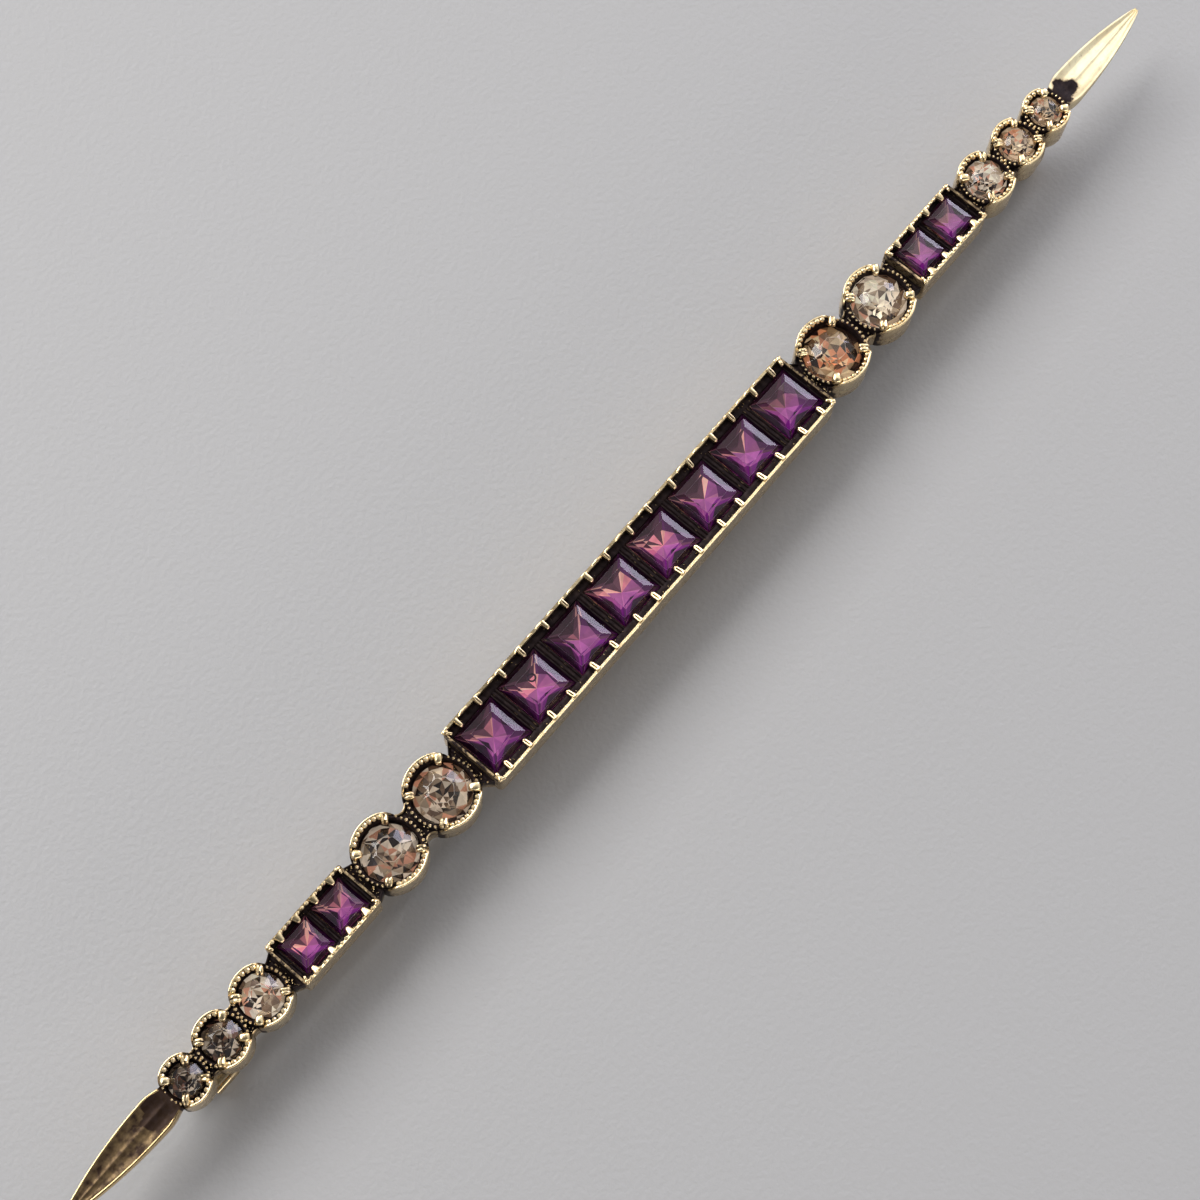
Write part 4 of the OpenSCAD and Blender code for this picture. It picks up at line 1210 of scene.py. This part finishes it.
# %% Violet stones
GIRDLE_T, EDGE_IN = 0.1, 0.006  # height of a stone's edge, and how far it stays inside its width
RUB = 0.0028  # half the width of a rubbed line
TABLE_HALF, STEP_HALF = 0.56, 0.82  # shares of the stone's half-width
GENTLE, STEEP, BELOW = np.tan(np.radians([26, 47, 38]))
CORNER = np.array([(1, -1), (1, 1), (-1, 1), (-1, -1)], float)
MIDDLE = (CORNER + np.roll(CORNER, -1, 0)) / 2


def square_ring(half, z):
    """Eight points round a square: each corner, and then the middle of the side that follows it."""
    return np.column_stack([np.stack([CORNER, MIDDLE], 1).reshape(-1, 2) * half, np.full(8, z)])


def square_stone(s):
    """Rings as (half side, height): the table, the inner step at a gentle slope, the outer one at a steep
    slope, and the edge. Below, every point lies on a plain pyramid, and is then raised or sunk a
    little: a point's depth follows the larger of its distances from the axis along X and Y."""
    half = s / 2
    table, step = half * TABLE_HALF, half * STEP_HALF
    step_z = TABLE_Z - (step - table) * GENTLE
    top = step_z - (half - step) * STEEP
    low = top - GIRDLE_T
    rings = [square_ring(*ring) for ring in (
        (table - RUB, TABLE_Z), (table + RUB, TABLE_Z - RUB), (step - RUB, step_z + RUB),
        (step + RUB, step_z - RUB), (half - EDGE_IN, top), (half - EDGE_IN, low))]
    bite = np.array([0.56, 0.42, 0.38, 0.44]) + rng.uniform(-0.07, 0.07, 4)
    diagonal = CORNER * rng.uniform(0.34, 0.58, (4, 1))
    notch = MIDDLE * bite[:, None] + rng.uniform(-0.05, 0.05, (4, 2))
    following = np.roll(diagonal, -1, 0)
    strips = rng.uniform(0.14, 0.4, (2, 4, 1))
    flat = np.concatenate([diagonal, notch, diagonal + (notch - diagonal) * strips[0],
                           following + (notch - following) * strips[1], [(0, 0)]]) * half
    depth = low - (half - np.abs(flat).max(1)) * BELOW + rng.uniform(-0.02, 0.02, 17)
    return rings + [np.column_stack([flat, depth])]


print("slopes of the gentle, the steep and the lower facets:", np.round([GENTLE, STEEP, BELOW], 2))

# %% [markdown]
# The foil under a violet stone is painted side by side with light and shade: magenta inner facets,
# plum outer ones and almost black wedges, which are painted shade. The upper side is painted dusky, as
# painted shade, as it is in the photograph, and salmon painted highlights come in by chance, mostly on
# the two upper diagonals. The stone's points are counted through, ring after ring, so a facet is
# written as the numbers of its corners.

# %% Foils of the violet stones
EDGE, DIAGONAL, NOTCH, STRIP, LOWEST = 40, 48, 52, 56, 64  # first number of each kind of point
SIDE_PAINT = np.array([  # painted light and shade: inner facet, outer facet and wedge, for the sides that face +X, +Y, -X and -Y
    ((0.34, 0.12, 0.28), (0.10, 0.022, 0.10), (0.02, 0.003, 0.024)),
    ((0.13, 0.07, 0.075), (0.09, 0.04, 0.055), (0.04, 0.018, 0.022)),
    ((0.37, 0.14, 0.31), (0.09, 0.011, 0.09), (0.008, 0.001, 0.01)),
    ((0.41, 0.14, 0.37), (0.18, 0.008, 0.21), (0.012, 0.001, 0.016)),
])
# Colours of the salmon painted highlights, the flashes of the foil.
PEACH, ROSE = np.array([1.0, 0.66, 0.42]), np.array([0.9, 0.40, 0.36])
SALMON = {  # how much salmon painted highlight the stones show, from left to right
    "large_square_stone": (0.7, 0.75, 0.5, 0.85, 0.95, 1.0, 0.65, 0.15),
    "small_square_stone_left": (0.5, 0.7), "small_square_stone_right": (0.3, 0.2),
}


def star_facets(salmon):
    """The lower facets. Each side has two halves, and a half has four facets, two inside and two outside
    the line from its diagonal point to the notch, and half of the dark wedge."""
    facets = []
    for side in range(4):
        after = (side + 1) % 4
        inner, outer, wedge = SIDE_PAINT[side]
        notch, middle = NOTCH + side, EDGE + 1 + 2 * side
        for quarter, strip in ((side, STRIP + side), (after, STRIP + 4 + side)):
            diagonal, corner = DIAGONAL + quarter, EDGE + 2 * quarter
            # warm is how strong the salmon painted highlight is, strongest on the two upper diagonals.
            warm = salmon * (1.5 if quarter in (1, 2) else 0.15) * rng.uniform(0.5, 1.2)
            chance = rng.uniform(0, 1, 3)
            tints = [inner + (PEACH - inner) * min(1, warm * (chance[0] > 0.25)),
                     inner + (ROSE - inner) * min(1, warm * 0.7 * (chance[1] > 0.6)),
                     outer + (PEACH - outer) * min(0.8, warm * (chance[2] > 0.5)), outer]
            shades = rng.uniform(0.72, 1.15, 4)
            corners = ([LOWEST, diagonal, strip], [LOWEST, strip, notch],
                       [diagonal, corner, strip], [strip, corner, notch])
            facets += [(c, FOIL, tint * shade) for c, tint, shade in zip(corners, tints, shades)]
            facets.append(([corner, middle, notch], FOIL, wedge * rng.uniform(0.5, 1.2)))
    return facets


print("salmon in the long box, from left to right:", SALMON["large_square_stone"])

# %% [markdown]
# Now each violet stone is put together and set: its rings, a tint that is paler in the right box,
# steep sides painted dark and an inner step painted dusky on the +Y side and dim on the -X and -Y
# sides, all painted shade, and the painted star below. One loop makes all twelve. Their salmon is
# given, as the photograph shows it, and chance makes the other differences.

# %% All violet stones
for name, (x, s) in [*LARGE.items(), *SMALL.items()]:
    rings = square_stone(s)
    row, number = name.rsplit("_", 1)
    pale = 0.6 * ("right" in name) + rng.uniform(0, 0.35)
    tint = np.array([0.86, 0.53, 0.84]) + np.array([0.06, 0.16, 0.08]) * pale
    # Painted shade: the steep sides and the edge are glass painted nearly black, and the inner step is
    # painted dusky on its +Y side and dim on its -X and -Y sides.
    steep_shade, dusky, dim = tint * (0.07, 0.02, 0.07), tint * (0.8, 0.75, 0.72), tint * (0.66, 0.42, 0.66)
    step = (CLEAR, np.array([tint, dusky, dim, dim]))
    bands = ((RUBBED, tint), step, (RUBBED, tint), (CLEAR, steep_shade), (CLEAR, steep_shade))
    points, facets = crown_facets(rings, 8, bands, tint)
    facets += star_facets(SALMON[row][int(number) - 1])
    points = set_by_hand(points, x, most_lean=0.8)
    cut_stone(name.replace("square_stone", "violet_stone"), name, points, facets, violet)

# %% [markdown]
# One of the stones holds an air bubble. Its rim bends the light away and looks like a small black ring,
# so a ring is what is made: a circle carried round a circle, just below the table.

# %% Air bubble
BUBBLE_STONE = "large_square_stone_2"
BUBBLE_R, BUBBLE_RIM = 0.21, 0.052
BUBBLE_X, BUBBLE_Y, BUBBLE_DEPTH = 0.08, 0.42, 0.12  # from the stone's middle, and below its table
turn, round_it = circle_turns(28)[:, None], circle_turns(10)
reach = BUBBLE_R + BUBBLE_RIM * np.cos(round_it)
bubble = together(LARGE[BUBBLE_STONE][0] + BUBBLE_X + reach * np.cos(turn), BUBBLE_Y + reach * np.sin(turn),
                  TABLE_Z - BUBBLE_DEPTH + BUBBLE_RIM * np.sin(round_it))
hollow = new_material("air bubble rim", {"Base Color": (0.012, 0.004, 0.012, 1)})[0]
piece("air_bubble", [skin(bubble, ring_rows=True)], material=hollow,
      nodes=(BUBBLE_STONE,))

# %% [markdown]
# The round stones are smoky paste with an eight-sided table, eight upper facets and many small
# lower ones. A turned cone would be too even, so their points are moved a little by chance, as
# hand-cut ones are, and every step of the slope is then broken into clear triangles.

# %% Round stones
TABLE_SHARE, CROWN_RISE, PAVILION = 0.40, 0.40, 0.66  # shares of a round stone's radius
LARGE_ROUND = 3  # a large stone is wider than this
LARGE_RUB, SMALL_RUB = 0.007, 0.003  # half the width of a rubbed line
AROUND = 16


def ring(radius, z, angle):
    """Points round the Z axis, each at its own radius, height and angle."""
    return together(radius * np.cos(angle), radius * np.sin(angle), z)


def round_stone(d, rub):
    """off is the angle from the nearest upper facet's middle. The table is the polygon r * share / cos(off),
    and an upper facet falls with r * cos(off). A ring on it is moved a little by chance, which breaks the
    slope into the small facets of hand-cut glass. Rings of 16, 8 and 8 points follow below the edge."""
    r = d / 2
    turn = np.arange(AROUND) * 2 * np.pi / AROUND
    off = (turn + np.pi / 8) % (np.pi / 4) - np.pi / 8
    slope = CROWN_RISE / (1 - TABLE_SHARE)
    flat = r * TABLE_SHARE
    low = TABLE_Z - CROWN_RISE * r - GIRDLE_T
    edge_z = TABLE_Z - (r * np.cos(off) - flat) * slope
    middle = r * (0.68 + 0.07 * np.cos(8 * turn)) * rng.uniform(0.96, 1.04, AROUND)
    middle_z = TABLE_Z - (middle * np.cos(off) - flat) * slope + rng.uniform(0.01, 0.05, AROUND) * r
    rings = [ring((flat - rub) / np.cos(off), TABLE_Z, turn),
             ring((flat + rub) / np.cos(off), TABLE_Z - rub * slope, turn),
             ring(middle, middle_z, turn + rng.uniform(-0.05, 0.05, AROUND)),
             ring(r, edge_z, turn), ring(r, low, turn)]
    for share, count, start in ((0.72, 16, 0.0), (0.44, 8, 0.0), (0.22, 8, np.pi / 8)):
        angle = np.arange(count) * 2 * np.pi / count + start + rng.uniform(-0.1, 0.1, count)
        reach = share + rng.uniform(-0.06, 0.06, count)
        depth = low - r * PAVILION * (1 - reach) + rng.uniform(-0.06, 0.06, count) * r
        rings.append(ring(reach * r, depth, angle))
    return rings + [np.array([[0, 0, low - r * PAVILION]]) + rng.uniform(-0.06, 0.06, (1, 3)) * r]


print("slope of a round stone's upper facets:", round(CROWN_RISE / (1 - TABLE_SHARE), 2))

# %% [markdown]
# The round stones vary more than the violet ones: two at the left end are nearly black-brown, and
# three are pale and bright. Their foils are painted cell by cell, so cream, salmon and brown cells lie
# side by side; the cream cells are painted highlights, the sparkle of the facets, and the black ones
# painted shade. A stone's mood says how bright it is, and its amber how warm, and each facet's paint
# is drawn.

# %% Foils of the round stones
FIRST, SECOND, THIRD, FOURTH, BOTTOM = 64, 80, 96, 104, 112  # first point of the edge and of each ring
CREAM = 1
PASTE = np.array([(0.02, 0.013, 0.01), (1.0, 0.98, 0.92), (0.86, 0.46, 0.34), (0.50, 0.43, 0.34),
                  (0.20, 0.14, 0.10)])  # black, cream, salmon, tan and brown; the black is painted shade and the cream a painted highlight
AMBER = np.array([1.15, 0.85, 0.5])
MOODS = {  # from 0, dark, to 1, bright, and how amber
    "left_e": (0.0, 0.2), "left_d": (0.06, 0.2), "left_c": (0.8, 0.25), "left_b": (0.42, 0.25),
    "left_a": (0.45, 0.35), "right_a": (0.55, 0.8), "right_b": (0.88, 0.35), "right_c": (0.78, 0.3),
    "right_d": (0.62, 0.6), "right_e": (0.48, 0.6),
}
DEEP_SMOKE, PALE_SMOKE = np.array([0.58, 0.48, 0.39]), np.array([0.98, 0.96, 0.93])


def paste_facets(mood, amber):
    """The lower facets, ring after ring. A facet's colour is drawn from the five paste colours: a bright
    stone has more cream and less black. The cream cells are painted highlights and the black ones
    painted shade."""
    corners = []
    for k in range(AROUND):
        n = (k + 1) % AROUND
        corners += [[FIRST + k, FIRST + n, SECOND + k], [FIRST + n, SECOND + n, SECOND + k]]
    for k in range(8):
        n, even, odd = (k + 1) % 8, SECOND + 2 * k, SECOND + 2 * k + 1
        following = SECOND + (2 * k + 2) % AROUND
        corners += [[even, odd, THIRD + k], [odd, following, THIRD + n], [odd, THIRD + k, THIRD + n],
                    [THIRD + k, THIRD + n, FOURTH + k], [THIRD + n, FOURTH + k, FOURTH + n],
                    [FOURTH + k, FOURTH + n, BOTTOM]]
    weights = np.array([0.38 - 0.26 * mood, 0.13 + 0.25 * mood, 0.14, 0.2, 0.15])
    drawn = rng.choice(5, len(corners), p=weights / weights.sum())
    light = np.where(drawn == CREAM, 0.85 + 0.15 * mood, min(0.2 + 1.4 * mood, 1))[:, None]
    colours = PASTE[drawn] * light * rng.uniform(0.6, 1.1, (len(corners), 1))
    colours = colours * (1 + amber * (AMBER - 1))
    return [(c, FOIL, colour) for c, colour in zip(corners, colours)]


print("moods of the round stones:", MOODS)

# %% [markdown]
# The round stones are put together in the same way. A bright stone has pale glass as well as pale
# foil, because smoke in the glass would dull it. Only the large stones show their rubbed edges
# clearly, so theirs are wider.

# %% All round stones
for name, (x, d) in ROUND.items():
    mood, amber = MOODS[name.replace("round_stone_", "")]
    tint = DEEP_SMOKE + (PALE_SMOKE - DEEP_SMOKE) * mood
    rings = round_stone(d, LARGE_RUB if d > LARGE_ROUND else SMALL_RUB)
    bands = ((RUBBED, tint), (BROKEN, tint), (BROKEN, tint), (CLEAR, tint))
    points, facets = crown_facets(rings, AROUND, bands, tint)
    facets += paste_facets(mood, amber)
    points = set_by_hand(points, x, most_lean=1.6)
    cut_stone(name.replace("round_stone", "smoky_stone"), name, points, facets, smoky)

# %% [markdown]
# The brooch lies on its catch and hinge on a pale grey surface with a soft grain. Floor and light
# belong to the picture and not to the brooch. It is one plain
# square, and the grain is only bump, because nobody looks at a floor's outline.

# %% Floor
FLOOR_HALF = 1.5  # metres
FLOOR_GREY = (0.345, 0.345, 0.352, 1)
FLOOR_GRAIN, GRAIN_DEPTH = 3000, 0.00014  # noise per metre, and depth in metres
floor_look, tree, shader = new_material("pale grained floor", {"Roughness": 0.55, "Base Color": FLOOR_GREY})
bumped(tree, shader, noise(tree, FLOOR_GRAIN, 3), 0.25, GRAIN_DEPTH)
floor_mesh = bpy.data.meshes.new("floor")
corners = [(x * FLOOR_HALF, y * FLOOR_HALF, 0) for x, y in ((-1, -1), (1, -1), (1, 1), (-1, 1))]
floor_mesh.from_pydata(corners, [], [(0, 1, 2, 3)])
floor_mesh.materials.append(floor_look)
placed("floor", floor_mesh)
print("floor", 2 * FLOOR_HALF, "m wide")

# %% [markdown]
# The camera looks down on the brooch, a little from its left end and its lower side, and it is
# rolled so that the bar runs from corner to corner. Its place is worked out from those angles: two
# tilts give the direction to the camera, and the roll turns its right and up about it.

# %% Camera
CAMERA_TILT, CAMERA_SIDE, CAMERA_ROLL = np.radians([13.996, 10.0, 50.846])
CAMERA_DISTANCE, CAMERA_OFFSET, LENS = 137.66, (-2.372, -1.932), 75.0
AIM = np.array([0, 0, RIM_Z - 0.3])


def unit(v):
    """The same direction, with a length of 1."""
    return np.asarray(v, float) / np.linalg.norm(v)


def looking(place, x_axis, y_axis, z_axis):
    """A matrix whose columns are the three axes, with its place in the last column."""
    matrix = np.eye(4)
    matrix[:3] = np.stack([x_axis, y_axis, z_axis, place], -1)
    return Matrix(matrix.tolist())


to_camera = np.array([-np.sin(CAMERA_TILT) * np.cos(CAMERA_SIDE), -np.sin(CAMERA_SIDE),
                      np.cos(CAMERA_TILT) * np.cos(CAMERA_SIDE)])
level_right = unit(np.cross([0, 1, 0], to_camera))
level_up = np.cross(to_camera, level_right)
right = np.cos(CAMERA_ROLL) * level_right - np.sin(CAMERA_ROLL) * level_up
up = np.sin(CAMERA_ROLL) * level_right + np.cos(CAMERA_ROLL) * level_up
camera_place = AIM + CAMERA_OFFSET[0] * right + CAMERA_OFFSET[1] * up + CAMERA_DISTANCE * to_camera

camera_data = bpy.data.cameras.new("camera")
camera_data.lens, camera_data.sensor_width, camera_data.clip_start = LENS, 36.0, 0.005
camera = placed("camera", camera_data)
camera.matrix_world = looking(camera_place * MM, right, up, to_camera)
bpy.context.scene.camera = camera
print("camera at", np.round(camera_place, 1))

# %% [markdown]
# Polished gold and facets show little more than what they reflect, so the lights are the windows
# and walls of a room: broad rectangles, each with its own colour. They are large for their
# distance, so that shadows are soft and every bead finds something to reflect.

# %% Lights
LIGHT_DISTANCE = 0.9  # metres
SOFTBOXES = {  # direction from the brooch, width, height, power and colour
    "window": ((-0.13, 0.90, 0.97), 0.8, 0.5, 9, (1.0, 0.98, 0.95)),
    "far_window": ((1.0, 0.15, 0.36), 0.5, 0.4, 3.0, (0.82, 0.80, 1.0)),
    "pale_wall": ((0.62, 0.20, 0.75), 0.55, 0.55, 0.85, (1.0, 0.98, 0.88)),
    "low_side": ((-0.3, -1.0, 0.25), 0.8, 0.3, 3, (1.0, 0.93, 0.85)),
}
for name, (direction, width, height, power, colour) in SOFTBOXES.items():
    out = unit(direction)
    data = bpy.data.lights.new(name, "AREA")
    data.shape, data.size, data.size_y, data.energy, data.color = "RECTANGLE", width, height, power, colour
    light = placed(name, data)
    x_axis = unit(np.cross([0, 0, 1], out))
    light.matrix_world = looking(out * LIGHT_DISTANCE, x_axis, np.cross(out, x_axis), out)
bpy.context.scene.view_settings.view_transform = "Standard"
print("lights:", list(SOFTBOXES))

# %% [markdown]
# Between the lights the stones and the gold reflect the room itself. It is bright above and dim
# below, white towards the right, and dark on the side from which the picture is taken, which gives
# the stones their depth. It is a world shader, because a room needs no walls to be reflected.

# %% The room
BELOW_ROOM, ABOVE_ROOM, WHITE = (0.14, 0.13, 0.125, 1), (0.55, 0.56, 0.58, 1), (1.0, 1.0, 1.0, 1)
DARK_CORNER, DARK_WAY = (0.06, 0.055, 0.05, 1), (-0.27, -0.2, 0.942)
world = bpy.data.worlds.new("room")
bpy.context.scene.world = world
world.use_nodes = True
tree = world.node_tree
background = tree.nodes["Background"].inputs
way = add(tree, "ShaderNodeTexCoord").outputs["Generated"]
split = add(tree, "ShaderNodeSeparateXYZ")
toward = add(tree, "ShaderNodeVectorMath", {1: DARK_WAY}, operation="DOT_PRODUCT")
join(tree, (way, split.inputs["Vector"]), (way, toward.inputs[0]))
sky = mixed(tree, spread(tree, split.outputs["Z"], -0.2, 0.6, 0, 1), BELOW_ROOM, ABOVE_ROOM)
lit = mixed(tree, spread(tree, split.outputs["X"], 0.05, 0.7, 0, 1), sky, WHITE)
behind = spread(tree, toward.outputs["Value"], 0.80, 0.92, 0, 0.92)
join(tree, (mixed(tree, behind, lit, DARK_CORNER), background["Color"]))
background["Strength"].default_value = 0.8
print("room strength", background["Strength"].default_value)
